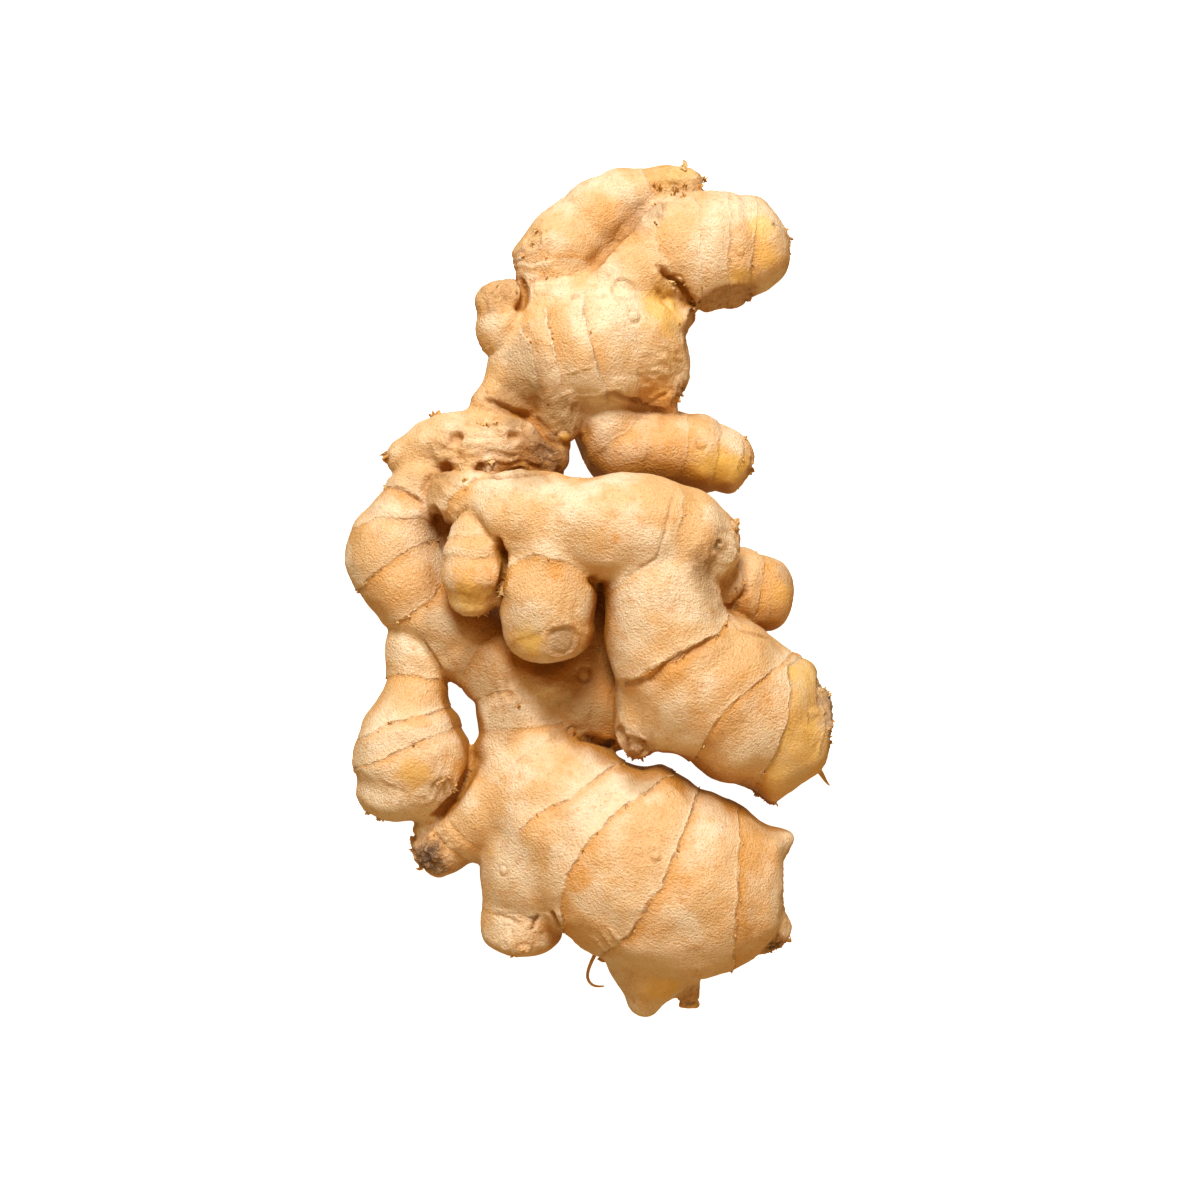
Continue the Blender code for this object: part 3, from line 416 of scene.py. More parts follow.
gradientTable = np.random.RandomState(11).normal(size=(256, 3))
gradientTable /= np.linalg.norm(gradientTable, axis=1, keepdims=True)
shuffled = np.random.RandomState(12).permutation(256)


# Smooth noise between about -1 and 1, with one hump in each size mm. Each seed reads it somewhere else.
def noiseAt(points, size, seed):
    place = points / size + seed * 13.7
    cell = np.floor(place).astype(np.int64)
    inside = place - cell
    fade = inside ** 3 * (inside * (inside * 6 - 15) + 10)
    total = np.zeros(len(points))
    for dx in (0, 1):
        for dy in (0, 1):
            for dz in (0, 1):
                step = np.array([dx, dy, dz])
                a, b, c = ((cell + step) & 255).T
                pick = gradientTable[shuffled[(shuffled[(shuffled[a] + b) & 255] + c) & 255]]
                weight = np.prod(np.where(step == 1, fade, 1 - fade), axis=1)
                total += weight * np.einsum("ij,ij->i", pick, inside - step)
    return total * 1.6


# A smooth curve through a finger's stations, with a point every 0.7 mm or so.
def fingerLine(stations, step=0.7):
    points = [np.array(station, float) for station in stations]
    points = [2 * points[0] - points[1]] + points + [2 * points[-1] - points[-2]]
    line = []
    for a, b, c, d in zip(points, points[1:], points[2:], points[3:]):
        count = max(2, round(np.linalg.norm(c[:3] - b[:3]) / step))
        for i in range(count):
            t = i / count
            line.append(0.5 * (2 * b + (c - a) * t + (2 * a - 5 * b + 4 * c - d) * t ** 2
                               + (3 * b - a - 3 * c + d) * t ** 3))
    line.append(points[-2])
    line = np.array(line)
    line[:, :3] -= rootShift
    return line


# Each finger's centre line with, at each point, its frame: forward, across and up.
skeleton = {}
for fingerName, finger in fingers.items():
    line = fingerLine(finger["stations"])
    forward = np.gradient(line[:, :3], axis=0)
    forward /= np.linalg.norm(forward, axis=1, keepdims=True)
    across = np.cross(forward, [0, 0, 1])
    across /= np.linalg.norm(across, axis=1, keepdims=True)
    along = np.concatenate([[0], np.cumsum(np.linalg.norm(np.diff(line[:, :3], axis=0), axis=1))])
    skeleton[fingerName] = dict(centre=line[:, :3], half=line[:, 3], forward=forward, across=across,
                                up=np.cross(across, forward), along=along)
fingerNames = list(fingers)


# For points on the skin: whose finger each is on, how far the nearest other finger is, and its place along,
# across and up its own finger.
def fingerPlaces(points):
    count = len(points)
    farMm = 1000.0       # stands for no finger near
    reachMm = 5          # how far outside its skin a finger still counts
    blendMm = 0.8        # how softly two fingers share a fold
    chunk = 20000        # points at a time, to save memory
    gap = np.full((len(fingerNames), count), farMm, np.float32)
    place = np.zeros((len(fingerNames), count, 3), np.float32)
    way = np.zeros((len(fingerNames), count, 3), np.float32)
    for index, name in enumerate(fingerNames):
        bone = skeleton[name]
        reach = bone["half"].max() + reachMm
        low, high = bone["centre"].min(0) - reach, bone["centre"].max(0) + reach
        near = np.where(((points > low) & (points < high)).all(axis=1))[0]
        for part in np.array_split(near, max(1, len(near) // chunk)):
            if not len(part):
                continue
            away = points[part, None, :] - bone["centre"][None, :, :]
            distance = np.sqrt((away ** 2).sum(axis=2)) - bone["half"][None, :]
            best = distance.argmin(axis=1)
            rows = np.arange(len(part))
            nearest = away[rows, best]
            gap[index, part] = distance[rows, best]
            place[index, part, 0] = bone["along"][best] + (nearest * bone["forward"][best]).sum(axis=1)
            place[index, part, 1] = (nearest * bone["across"][best]).sum(axis=1)
            place[index, part, 2] = (nearest * bone["up"][best]).sum(axis=1)
            way[index, part] = bone["forward"][best]
    rows = np.arange(count)
    order = np.argsort(gap, axis=0)
    owner = order[0]
    kin = [fingers[name].get("kin", name) for name in fingerNames]
    kinOf = np.array([kin.index(group) for group in kin])
    stranger = kinOf[:, None] != kinOf[owner][None, :]
    pressed = np.where(stranger, gap, farMm).min(axis=0) - gap[owner, rows]
    weight = np.exp(-(gap - gap[owner, rows]) / blendMm)
    return dict(owner=owner, border=gap[order[1], rows] - gap[owner, rows], pressed=pressed,
                place=place, own=place[owner, rows], way=way[owner, rows],
                weight=weight / weight.sum(axis=0))


# How far along its finger each point is, counted in rings, so that whole numbers are rings. Also the mm
# between the two rings on either side, the mm from the nearest ring (negative before it), and how dark and
# how pale that ring is.
def ringPlaces(where, points):
    count = len(points)
    phase, span = np.full(count, 0.5), np.full(count, 99.0)    # a finger without rings is all between two
    darkness, paleness = np.zeros(count), np.zeros(count)
    slow, quick = skinRelief["ringSway"]
    sway = slow * noiseAt(points, 12, 3) + quick * noiseAt(points, 4, 5)
    for index, name in enumerate(fingerNames):
        mine = np.where(where["owner"] == index)[0]
        rings = fingers[name].get("rings")
        if not len(mine) or not rings:
            continue
        along = where["own"][mine, 0] + sway[mine]
        across = where["own"][mine, 1]
        edges = [at + lean * across + bow * across ** 2 for at, _, _, lean, bow in rings]
        for k in range(1, len(edges)):
            edges[k] = np.maximum(edges[k], edges[k - 1] + skinRelief["ringsApart"])
        edges = [edges[0] - skinRelief["endLength"]] + edges + [edges[-1] + skinRelief["endLength"]]
        dark, pale = np.array([ring[1] for ring in rings]), np.array([ring[2] for ring in rings])
        for k in range(len(edges) - 1):
            width = edges[k + 1] - edges[k]
            share = np.clip((along - edges[k]) / width, 0, 1)
            inside = (along >= edges[k]) & (along < edges[k + 1])
            low = 0.5 if k == 0 else 0.0                       # no ring at the two outer edges
            high = 0.5 if k == len(edges) - 2 else 1.0
            pick = np.clip(np.where(share < 0.5, k, k + 1) - 1, 0, len(rings) - 1)
            phase[mine[inside]] = (k + np.clip(share, low, high))[inside]
            span[mine[inside]] = width[inside]
            darkness[mine[inside]] = dark[pick][inside]
            paleness[mine[inside]] = pale[pick][inside]
    fromRing = (np.mod(phase + 0.5, 1) - 0.5) * span
    return phase, span, fromRing, darkness, paleness


# The CAD node's own mesh as a fine, closed skin that keeps its shape.
def startSkin():
    piece = frame["nodes"]["ginger_root"].copy()
    piece.data = piece.data.copy()
    piece.name = "gingerSkin"
    piece.parent = None
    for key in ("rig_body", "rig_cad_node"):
        if key in piece:
            del piece[key]
    bpy.context.scene.collection.objects.link(piece)
    makeActive(piece)
    bpy.ops.object.mode_set(mode="EDIT")
    bpy.ops.mesh.select_all(action="SELECT")
    bpy.ops.mesh.remove_doubles(threshold=skinRelief["mergeMm"] * mm)
    bpy.ops.object.mode_set(mode="OBJECT")
    applyModifier(piece, "SUBSURF", levels=1, render_levels=1)
    applyModifier(piece, "REMESH", mode="VOXEL", voxel_size=skinRelief["gridMm"] * mm)
    applyModifier(piece, "SMOOTH", factor=0.5, iterations=skinRelief["smoothPasses"])
    return piece


# How strongly each point is in a kind of patch, from 0 to 1, with ragged edges.
def patchMask(points, kind):
    total = np.zeros(len(points))
    wobble = 1 + 0.34 * noiseAt(points, 3.2, 71) + 0.22 * noiseAt(points, 1.3, 72)
    for x, y, *height, half, strength in patches[kind]:
        t = awayFrom(points, half, x, y, *height) * wobble
        total = np.maximum(total, strength * smoothStep(1.3, 0.55, t))
    return total


# Moves the outline a little.
def pullSkin(piece):
    points = readPoints(piece)
    start = points[:, :2] + rootShift[:2]
    for x, y, half, moveX, moveY in pulls:
        share = np.exp(-(((start - [x, y]) ** 2).sum(axis=1)) / (0.6 * half ** 2))
        points[:, 0] += share * moveX
        points[:, 1] += share * moveY
    writePoints(piece, points)


# How deep each point lies in a seam, in mm, and how dark the seam is there.
def seamPlaces(points):
    depth, tone = np.zeros(len(points)), np.zeros(len(points))
    wobble = 0.22 * noiseAt(points, 1.6, 64)
    steps = np.linspace(0, 1, 10, endpoint=False)
    for size, left, right, dark, corners in seams:
        corners = [np.array(corner) for corner in corners]
        line = [a + (b - a) * t for a, b in zip(corners, corners[1:]) for t in steps]
        line = np.array([spotAt(*spot) for spot in line + corners[-1:]])
        reach = 3 * max(left, right) + 1
        near = np.where(((points > line.min(0) - reach) & (points < line.max(0) + reach)).all(axis=1))[0]
        if not len(near):
            continue
        away = np.linalg.norm(points[near, None, :] - line[None, :, :], axis=2)
        closest = away.argmin(axis=1)
        share = closest / (len(line) - 1)
        taper = smoothStep(0, 0.18, share) * smoothStep(1, 0.82, share)
        ahead = np.gradient(line, axis=0)[closest]
        offset = points[near] - line[closest]
        turn = np.sign(ahead[:, 0] * offset[:, 1] - ahead[:, 1] * offset[:, 0])
        side = turn * away.min(axis=1) + wobble[near]
        width = np.where(side > 0, left, right)
        distance = np.abs(side)
        sharp = hump(distance, width)
        rim = 0.4 * size * (width < 1) * (hump(distance, 4 * width) - sharp)
        groove = taper * (size * sharp - rim)
        depth[near] = np.where(np.abs(groove) > np.abs(depth[near]), groove, depth[near])
        shade = dark * taper * hump(distance, np.minimum(1.15 * width, 1.2))
        tone[near] = np.where(np.abs(shade) > np.abs(tone[near]), shade, tone[near])
    return depth, tone


# Gives the skin its relief: each point moves along its normal by height, in mm.
def shapeSkin(piece):
    relief = skinRelief
    points, normals = readPoints(piece), readNormals(piece)
    where = fingerPlaces(points)
    phase, span, fromRing, darkness, paleness = ringPlaces(where, points)
    inner = smoothStep(0.4, 2.2, where["border"])               # 0 where two fingers meet
    patchy = 0.25 + 0.75 * smoothStep(-0.35, 0.35, noiseAt(points, 4, 7))
    before, after = np.clip(-fromRing, 0, None), np.clip(fromRing, 0, None)
    lip = np.exp(-before / relief["ringLipWidth"]) * smoothStep(0.25, -0.25, fromRing)
    drop = np.exp(-after / relief["ringDropWidth"]) * smoothStep(-0.2, 0.35, fromRing)
    bold = 0.15 + 0.85 * np.maximum(darkness, paleness)
    height = inner * patchy * bold * (relief["ringLip"] * lip - relief["ringDrop"] * drop)
    height += inner * relief["swell"] * np.sin(np.pi * np.mod(phase, 1)) * (span < 50)
    deep = 0.4 + 0.6 * smoothStep(-0.3, 0.5, noiseAt(points, 9, 21))
    height -= relief["creaseDepth"] * deep * hump(where["pressed"], relief["creaseWidth"])

    # folds that run along each finger, faded out between fingers
    folds, deepFolds = np.zeros(len(points)), np.zeros(len(points))
    for index in range(len(fingerNames)):
        near = np.where(where["weight"][index] > 0.02)[0]
        if len(near):
            place = where["place"][index, near].astype(float)
            share = where["weight"][index, near]
            fine = noiseAt(place * [0.5, 1, 1], 1.4, 31) + 0.8 * noiseAt(place * [0.6, 1, 1], 0.9, 32)
            coarse = 1 - 2.2 * np.abs(noiseAt(place * [0.2, 1, 1] + noiseAt(place, 4, 36)[:, None], 2.3, 33))
            folds[near] += share * fine
            deepFolds[near] += share * (coarse - 0.5 + 0.5 * noiseAt(place * [0.3, 1, 1], 1.3, 34))
    freshness = patchMask(points, "fresh")
    height += relief["wrinkle"] * folds * (1 - 0.6 * freshness) * (0.6 + 0.5 * noiseAt(points, 6, 35))
    height += relief["deepWrinkle"] * patchMask(points, "wrinkled") * deepFolds
    height += relief["lump"] * (noiseAt(points, 7, 41) + 0.4 * noiseAt(points, 3.2, 42))

    # dry scales: plates with broken edges
    dry = patchMask(points, "dry")
    plates = (noiseAt(points, 2.4, 51) + 0.35 * noiseAt(points, 0.9, 52)) * relief["scaleSteps"]
    stepped = np.floor(plates) + smoothStep(0.35, 0.65, np.mod(plates, 1))
    height += dry * relief["scale"] * (0.55 * stepped + 0.3 * noiseAt(points, 0.8, 53) + 0.1)

    # buds stand up in a ditch, pits have a rim, and scars are sunken with two raised rings
    for x, y, half, size in marks["buds"]:
        t = awayFrom(points, half, x, y)
        height += size * np.clip(1 - t ** 2, 0, 1) - 0.35 * size * hump(t - 1.1, 0.22)
    for x, y, half, size in marks["pits"]:
        t = awayFrom(points, half, x, y)
        t = t * (1 + 0.45 * noiseAt(points, 2.2, 61) + 0.25 * noiseAt(points, 0.9, 64))
        height += -size * np.exp(-(t / 0.6) ** 4) + 0.3 * size * hump(t - 1.05, 0.3)
    for x, y, half, size in marks["scars"]:
        t = awayFrom(points, half, x, y) * (1 + 0.1 * noiseAt(points, 2.4, 62))
        height += -size * smoothStep(1.0, 0.85, t) + 0.9 * size * hump(t - 1.08, 0.12)
        height += 0.5 * size * hump(t - 0.55, 0.1)
    for x, y, turn, half, size in marks["slits"]:
        away = points - spotAt(x, y)
        c, s = math.cos(math.radians(turn)), math.sin(math.radians(turn))
        u = (away[:, 0] * c + away[:, 1] * s) / half
        v = -away[:, 0] * s + away[:, 1] * c + 0.5 * noiseAt(points, 2.5, 63)
        near = smoothStep(1, 0.4, np.abs(u)) * (np.abs(away[:, 2]) < half)
        height += near * size * (0.5 * hump(v - 0.7, 0.5) - hump(v, 0.35))
    height -= seamPlaces(points)[0]
    points = points + normals * height[:, None]

    for x, y, z, radius, _ in hollows:
        away = points - spotAt(x, y, z)
        distance = np.linalg.norm(away, axis=1)
        edge = radius + 0.5 * noiseAt(points, 2.2, 81) + 0.25 * noiseAt(points, 0.9, 82)
        inside = distance < edge
        points[inside] += away[inside] * (edge / np.maximum(distance, 0.1) - 1)[inside, None]
    points[:, 2] = np.maximum(points[:, 2], 0)          # the flat spots stay on the table
    writePoints(piece, points)


# How creases are found for their painted shade: by rays from the skin that meet more skin.
occlusionSearch = dict(
    rays=24,
    reachMm=20,            # how far a ray looks for skin in its way
    startMm=0.15,          # how far above the skin it starts
    every=6,               # one point in so many sends rays
    neighbours=4,          # each point takes its mean from so many of these
)


# How closed in each point is, from 0 in the open to 1 in a deep crease; the skin's material paints shade by
# it.
def closedIn(piece, points, normals):
    tree = BVHTree.FromObject(piece, bpy.context.evaluated_depsgraph_get())
    rays = np.random.RandomState(5).normal(size=(occlusionSearch["rays"], 3))
    rays /= np.linalg.norm(rays, axis=1, keepdims=True)
    picks = np.arange(0, len(points), occlusionSearch["every"])
    reach = occlusionSearch["reachMm"] * mm
    blocked = np.zeros(len(picks))
    finder = KDTree(len(picks))
    for slot, i in enumerate(picks):
        start = Vector((points[i] + normals[i] * occlusionSearch["startMm"]) * mm)
        hits = [tree.ray_cast(start, Vector(ray + normals[i] * 1.05), reach)[0] is not None for ray in rays]
        blocked[slot] = sum(hits) / len(rays)
        finder.insert(Vector(points[i]), slot)
    finder.balance()
    result = np.zeros(len(points))
    for i, point in enumerate(points):
        found = finder.find_n(Vector(point), occlusionSearch["neighbours"])
        weights = [1 / (distance + 0.2) for _, _, distance in found]
        result[i] = sum(w * blocked[slot] for w, (_, slot, _) in zip(weights, found)) / sum(weights)
    return result


def setAttribute(piece, name, values):
    kind, field = ("FLOAT_VECTOR", "vector") if values.ndim == 2 else ("FLOAT", "value")
    attribute = piece.data.attributes.new(name, kind, "POINT")
    attribute.data.foreach_set(field, values.astype(np.float32).ravel())


# Leaves on the skin what its material reads, and returns what the flakes need to grow on it.
def paintSkin(piece):
    points, normals = readPoints(piece), readNormals(piece)
    where = fingerPlaces(points)
    phase, span, fromRing, darkness, paleness = ringPlaces(where, points)
    inner = smoothStep(0.3, 1.8, where["border"])
    paint = dict(fingerPlace=where["own"], ringPhase=phase, ringSpan=span, ringDark=inner * darkness,
                 ringPale=inner * paleness, inner=inner)
    for kind in ("fresh", "goldAndShade", "dry", "grey", "shadeAndBrown", "paintedLight", "dark"):
        paint[kind] = patchMask(points, kind)

    # the right lobe has grown fresh skin past its last ring
    freshLobe = smoothStep(4.0, 4.05, phase) * (where["owner"] == fingerNames.index("rightLobe"))
    freshLobe *= np.clip(0.55 + 0.5 * noiseAt(points, 5, 68), 0.15, 0.9)
    paint["fresh"] = np.maximum(paint["fresh"], freshLobe)
    for x, y, z, radius, brownness in hollows:
        distance = np.linalg.norm(points - spotAt(x, y, z), axis=1)
        broken = smoothStep(radius + 1.2, radius + 0.5, distance) * brownness
        paint["dry"] = np.maximum(paint["dry"], broken)

    # seams, and a fine dark line round each scar, bud and pit
    seam = seamPlaces(points)[1]
    for x, y, half, _ in marks["scars"] + marks["buds"] + marks["pits"]:
        t = awayFrom(points, half, x, y) * (1 + 0.12 * noiseAt(points, 2, 66))
        outline = 0.75 * hump(t - 1.05, 0.13) * (0.5 + 0.5 * noiseAt(points, 2, 67))
        seam = np.maximum(seam, outline)
    paint["seamDark"] = np.maximum(seam, 0)
    paint["seamPale"] = np.maximum(-seam, 0)
    # how closed in each point is, from which the material paints shade in creases and hollows
    paint["closedIn"] = closedIn(piece, points, normals)
    for name, values in paint.items():
        setAttribute(piece, name, values)
    return dict(points=points, normals=normals, way=where["way"], fromRing=fromRing, closed=paint["closedIn"],
                ringStrength=inner * np.maximum(darkness, 0.8 * paleness))


# sRGB hex to linear
def colour(hexText):
    channels = [int(hexText[i:i + 2], 16) / 255 for i in (1, 3, 5)]
    return tuple(c / 12.92 if c <= 0.04045 else ((c + 0.055) / 1.055) ** 2.4 for c in channels) + (1.0,)


# Adds one node and returns its first live output, or the one named. settings are its properties, and inputs
# its sockets: a value, or the output that feeds it.
def addNode(tree, kind, settings, inputs, output=None):
    node = tree.nodes.new(kind)
    for key, value in settings.items():
        setattr(node, key, value)
    for key, value in inputs.items():
        if isinstance(value, bpy.types.NodeSocket):
            tree.links.new(value, node.inputs[key])
        else:
            node.inputs[key].default_value = value
    live = [socket for socket in node.outputs if socket.enabled and (output is None or socket.name == output)]
    return live[0] if live else None


# An empty node material, and its look with the hex colours made linear.
def startMaterial(name, settings):
    material = bpy.data.materials.new(name)
    material.use_nodes = True
    material.node_tree.nodes.clear()
    look = {key: colour(value) if isinstance(value, str) else value for key, value in settings.items()}
    return material, look


# Humps per mm, detail, roughness and distortion of each pattern in the skin.
skinPatterns = dict(
    clouds=(0.075, 3.0, 0.5, 0.0),     # blotches of 13 mm
    mottle=(0.38, 4.0, 0.6, 0.0),      # spots of 2.6 mm
    grain=(2.0, 3.0, 0.62, 0.0),       # cork grain of 0.5 mm, coarser than the real one so that it shows
    fibre=(1.9, 2.5, 0.6, 0.3),        # fine folds of 0.5 mm, longer along the finger
    flake=(0.8, 5.0, 0.68, 0.8),       # dry scales and specks of 1.3 mm
    ragged=(0.8, 4.0, 0.66, 0.0),      # frayed edges of the rings
    gaps=(0.26, 3.0, 0.65, 0.0),       # worn places of 4 mm in the rings
)

# Where each part of the look shows: what it reads, where that starts and is full, and the least and most that
# it shows. fromRing and away are in mm from the nearest ring, with and without a sign.
skinSpans = dict(
    line=("away", 0.5, 0.05, 0.0, 1.0),
    lineGaps=("gaps", 0.42, 0.62, 0.0, 1.0),
    lipRise=("fromRing", -0.95, -0.35, 0.0, 1.0),
    lipFall=("fromRing", -0.05, -0.25, 0.0, 1.0),
    lipGaps=("mottle", 0.34, 0.54, 0.0, 1.0),
    shadeRise=("fromRing", -0.1, 0.2, 0.0, 1.0),
    shadeFall=("fromRing", 3.2, 0.1, 0.0, 1.0),
    glowRise=("fromRing", -4.5, -0.6, 0.0, 1.0),
    glowFall=("fromRing", 0.1, -0.5, 0.0, 1.0),
    clouds=("clouds", 0.4, 0.6, 0.0, 1.0),
    warmSpots=("mottle", 0.48, 0.76, 0.0, 0.6),
    streaks=("fibre", 0.42, 0.2, 0.0, 0.35),
    grainDark=("grain", 0.46, 0.25, 0.0, 0.62),
    grainPale=("grain", 0.55, 0.75, 0.0, 0.5),
    specks=("flake", 0.68, 0.74, 0.0, 0.65),
    fleshPale=("mottle", 0.35, 0.7, 0.0, 1.0),
    scalesTan=("flake", 0.36, 0.52, 0.0, 1.0),
    scalesPale=("flake", 0.52, 0.68, 0.0, 1.0),
    scales=("mottle", 0.62, 0.4, 0.45, 1.0),
    greyScales=("flake", 0.3, 0.55, 0.4, 1.0),
    # painted shade in creases and hollows, stronger where the skin is more closed in
    paintedCreaseShade=("closedIn", 0.1, 0.58, 0.0, 0.95),
    darkScales=("flake", 0.65, 0.45, 0.0, 1.0),
)

skinLook = dict(
    # the gold colour is the skin's golden tone and also the painted shade after each ring
    pale="#F2DDBA", tan="#E6BC82", warm="#D59C54", streak="#BE8440", speck="#8A5426", goldAndShade="#DF9A30",
    # the crease colour is painted shade for creases and hollows, and the brown colour is painted shade,
    # partly browner skin
    paintedCreaseShade="#B5761C", shadeAndBrown="#B29A6A", freshYellow="#DBAC1E", freshPale="#ECC35C",
    dryPale="#E9CC96", dryTan="#C9935A", dryBrown="#96602C", grey="#B89C7C", dark="#4A2D17",
    ringBrown="#A9672A", ringPale="#F7E0BC",
    fibreMm=0.21, grainMm=0.45, crustMm=0.9, lineMm=-0.25, lipMm=0.2,       # how high each stands
    roughness=0.42,
)


# Ginger skin: thin cork over moist yellow flesh. Satin, a little translucent, finely wrinkled, and with
# warm shade painted into its creases.
def gingerSkinMaterial():
    material, look = startMaterial("thinCorkGingerSkin", skinLook)
    tree = material.node_tree
    mathNode, mixNode, rangeNode = "ShaderNodeMath", "ShaderNodeMix", "ShaderNodeMapRange"
    times, timesPlus = {"operation": "MULTIPLY"}, {"operation": "MULTIPLY_ADD"}
    mixed = {"data_type": "RGBA"}

    # what the skin was painted with, and then its patterns
    read = {name: addNode(tree, "ShaderNodeAttribute", {"attribute_name": name}, {}, "Fac")
            for name in ("ringPhase", "ringSpan", "ringDark", "ringPale", "inner", "fresh", "dry", "dark",
                         "closedIn", "goldAndShade", "grey", "shadeAndBrown", "paintedLight", "seamDark", "seamPale")}
    fingerPlace = addNode(tree, "ShaderNodeAttribute", {"attribute_name": "fingerPlace"}, {}, "Vector")
    folded = addNode(tree, "ShaderNodeVectorMath", times, {0: fingerPlace, 1: (0.55, 1, 1)})
    metres = addNode(tree, "ShaderNodeTexCoord", {}, {}, "Object")
    place = addNode(tree, "ShaderNodeVectorMath", {"operation": "SCALE"}, {0: metres, "Scale": 1 / mm})
    for name, (perMm, detail, roughness, distortion) in skinPatterns.items():
        read[name] = addNode(tree, "ShaderNodeTexNoise", {}, {
            "Vector": folded if name == "fibre" else place, "Scale": perMm, "Detail": detail,
            "Roughness": roughness, "Distortion": distortion})

    # signed mm from the nearest ring, with a ragged edge
    ragged = addNode(tree, mathNode, timesPlus, {0: read["ragged"], 1: 1.8, 2: -0.9})
    fromRing = addNode(tree, mathNode, {"operation": "ADD"}, {0: read["ringPhase"], 1: 0.5})
    fromRing = addNode(tree, mathNode, {"operation": "FRACT"}, {0: fromRing})
    fromRing = addNode(tree, mathNode, {"operation": "SUBTRACT"}, {0: fromRing, 1: 0.5})
    read["fromRing"] = addNode(tree, mathNode, timesPlus, {0: fromRing, 1: read["ringSpan"], 2: ragged})
    read["away"] = addNode(tree, mathNode, {"operation": "ABSOLUTE"}, {0: read["fromRing"]})

    shows = {}
    for name, (source, start, full, least, most) in skinSpans.items():
        shows[name] = addNode(tree, rangeNode, {"interpolation_type": "SMOOTHSTEP"}, {
            "Value": read[source], "From Min": start, "From Max": full, "To Min": least, "To Max": most})
    shows["goldSpots"] = addNode(tree, rangeNode, {}, {
        "Value": read["mottle"], "From Min": 0.35, "From Max": 0.65, "To Min": 0.6})

    # the crack of a ring, the pale lip before it, and the lighting of its step painted on: a wide band of
    # painted shade after it and a wide band of painted light before it
    strips = dict(line=[shows["line"], read["ringDark"], shows["lineGaps"]],
                  lip=[shows["lipRise"], shows["lipFall"], read["ringPale"], shows["lipGaps"]],
                  shade=[shows["shadeFall"], shows["shadeRise"], read["ringDark"]],
                  glow=[shows["glowRise"], shows["glowFall"], read["ringDark"]])
    for name, (amount, *factors) in strips.items():
        for factor in factors:
            amount = addNode(tree, mathNode, times, {0: amount, 1: factor})
        strips[name] = amount
    line = addNode(tree, mathNode, {"operation": "MAXIMUM"}, {0: strips["line"], 1: read["seamDark"]})

    # colours, laid over one another from blotches up to the painted shade of creases: which, how much, and
    # what that is times
    look["flesh"] = addNode(tree, mixNode, mixed, {
        0: shows["fleshPale"], 6: look["freshYellow"], 7: look["freshPale"]})
    scales = addNode(tree, mixNode, mixed, {0: shows["scalesTan"], 6: look["dryBrown"], 7: look["dryTan"]})
    look["scales"] = addNode(tree, mixNode, mixed, {0: shows["scalesPale"], 6: scales, 7: look["dryPale"]})
    notPaintedLight = addNode(tree, mathNode, timesPlus, {0: read["paintedLight"], 1: -0.8, 2: 1.0})
    base = look["tan"]
    for name, amount, share in [
            ("pale", shows["clouds"], 1.0),
            ("warm", shows["warmSpots"], 1.0),
            # golden patches, partly painted shade on shaded sides
            ("goldAndShade", shows["goldSpots"], read["goldAndShade"]),
            ("streak", shows["streaks"], read["inner"]),
            ("streak", shows["grainDark"], 1.0),
            ("ringPale", shows["grainPale"], 1.0),
            ("speck", shows["specks"], 1.0),
            # painted shade after each ring and painted light before it, as a step in the skin is lit
            ("goldAndShade", strips["shade"], 0.72),
            ("ringPale", strips["glow"], 0.55),
            ("ringPale", strips["lip"], 0.85),
            ("ringPale", read["seamPale"], 0.8),
            ("ringBrown", line, 0.8),
            ("flesh", read["fresh"], 0.85),
            ("scales", shows["scales"], read["dry"]),
            ("grey", shows["greyScales"], read["grey"]),
            # painted shade where the fingers above shade the skin, partly browner skin
            ("shadeAndBrown", read["shadeAndBrown"], 1.0),                     # multiplied, so that what is under it shows
            # painted light, paler where more light falls
            ("ringPale", read["paintedLight"], 0.45),
            # painted shade in creases and hollows, weaker where light is painted
            ("paintedCreaseShade", shows["paintedCreaseShade"], notPaintedLight),
            ("dark", shows["darkScales"], read["dark"])]:
        amount = addNode(tree, mathNode, times, {0: amount, 1: share})
        over = {"data_type": "RGBA", "blend_type": "MULTIPLY" if name == "shadeAndBrown" else "MIX"}
        base = addNode(tree, mixNode, over, {0: amount, 6: base, 7: look[name]})

    # height in mm
    height = addNode(tree, mathNode, times, {0: read["fibre"], 1: read["inner"]})
    height = addNode(tree, mathNode, times, {0: height, 1: look["fibreMm"]})
    height = addNode(tree, mathNode, timesPlus, {0: read["grain"], 1: look["grainMm"], 2: height})
    smooth = addNode(tree, mathNode, timesPlus, {0: read["fresh"], 1: -0.75, 2: 1.0})
    height = addNode(tree, mathNode, times, {0: height, 1: smooth})
    crust = addNode(tree, mathNode, times, {0: read["flake"], 1: read["dry"]})
    for pattern, size in ((crust, look["crustMm"]), (line, look["lineMm"]), (strips["lip"], look["lipMm"])):
        height = addNode(tree, mathNode, timesPlus, {0: pattern, 1: size, 2: height})
    bump = addNode(tree, "ShaderNodeBump", {}, {"Strength": 1.0, "Distance": mm, "Height": height})

    # fresh skin is glossier, and dry skin is duller
    rough = look["roughness"] - 0.125
    for pattern, change in ((read["mottle"], 0.25), (read["dry"], 0.25), (read["fresh"], -0.12)):
        rough = addNode(tree, mathNode, timesPlus, {0: pattern, 1: change, 2: rough})
    shader = addNode(tree, "ShaderNodeBsdfPrincipled", {"subsurface_method": "RANDOM_WALK"}, {
        "Base Color": base, "Roughness": rough, "Normal": bump, "IOR": 1.45, "Specular IOR Level": 0.8,
        "Subsurface Weight": 0.1, "Subsurface Radius": (0.9, 0.5, 0.15), "Subsurface Scale": 1 * mm})
    addNode(tree, "ShaderNodeOutputMaterial", {}, {"Surface": shader})
    return material


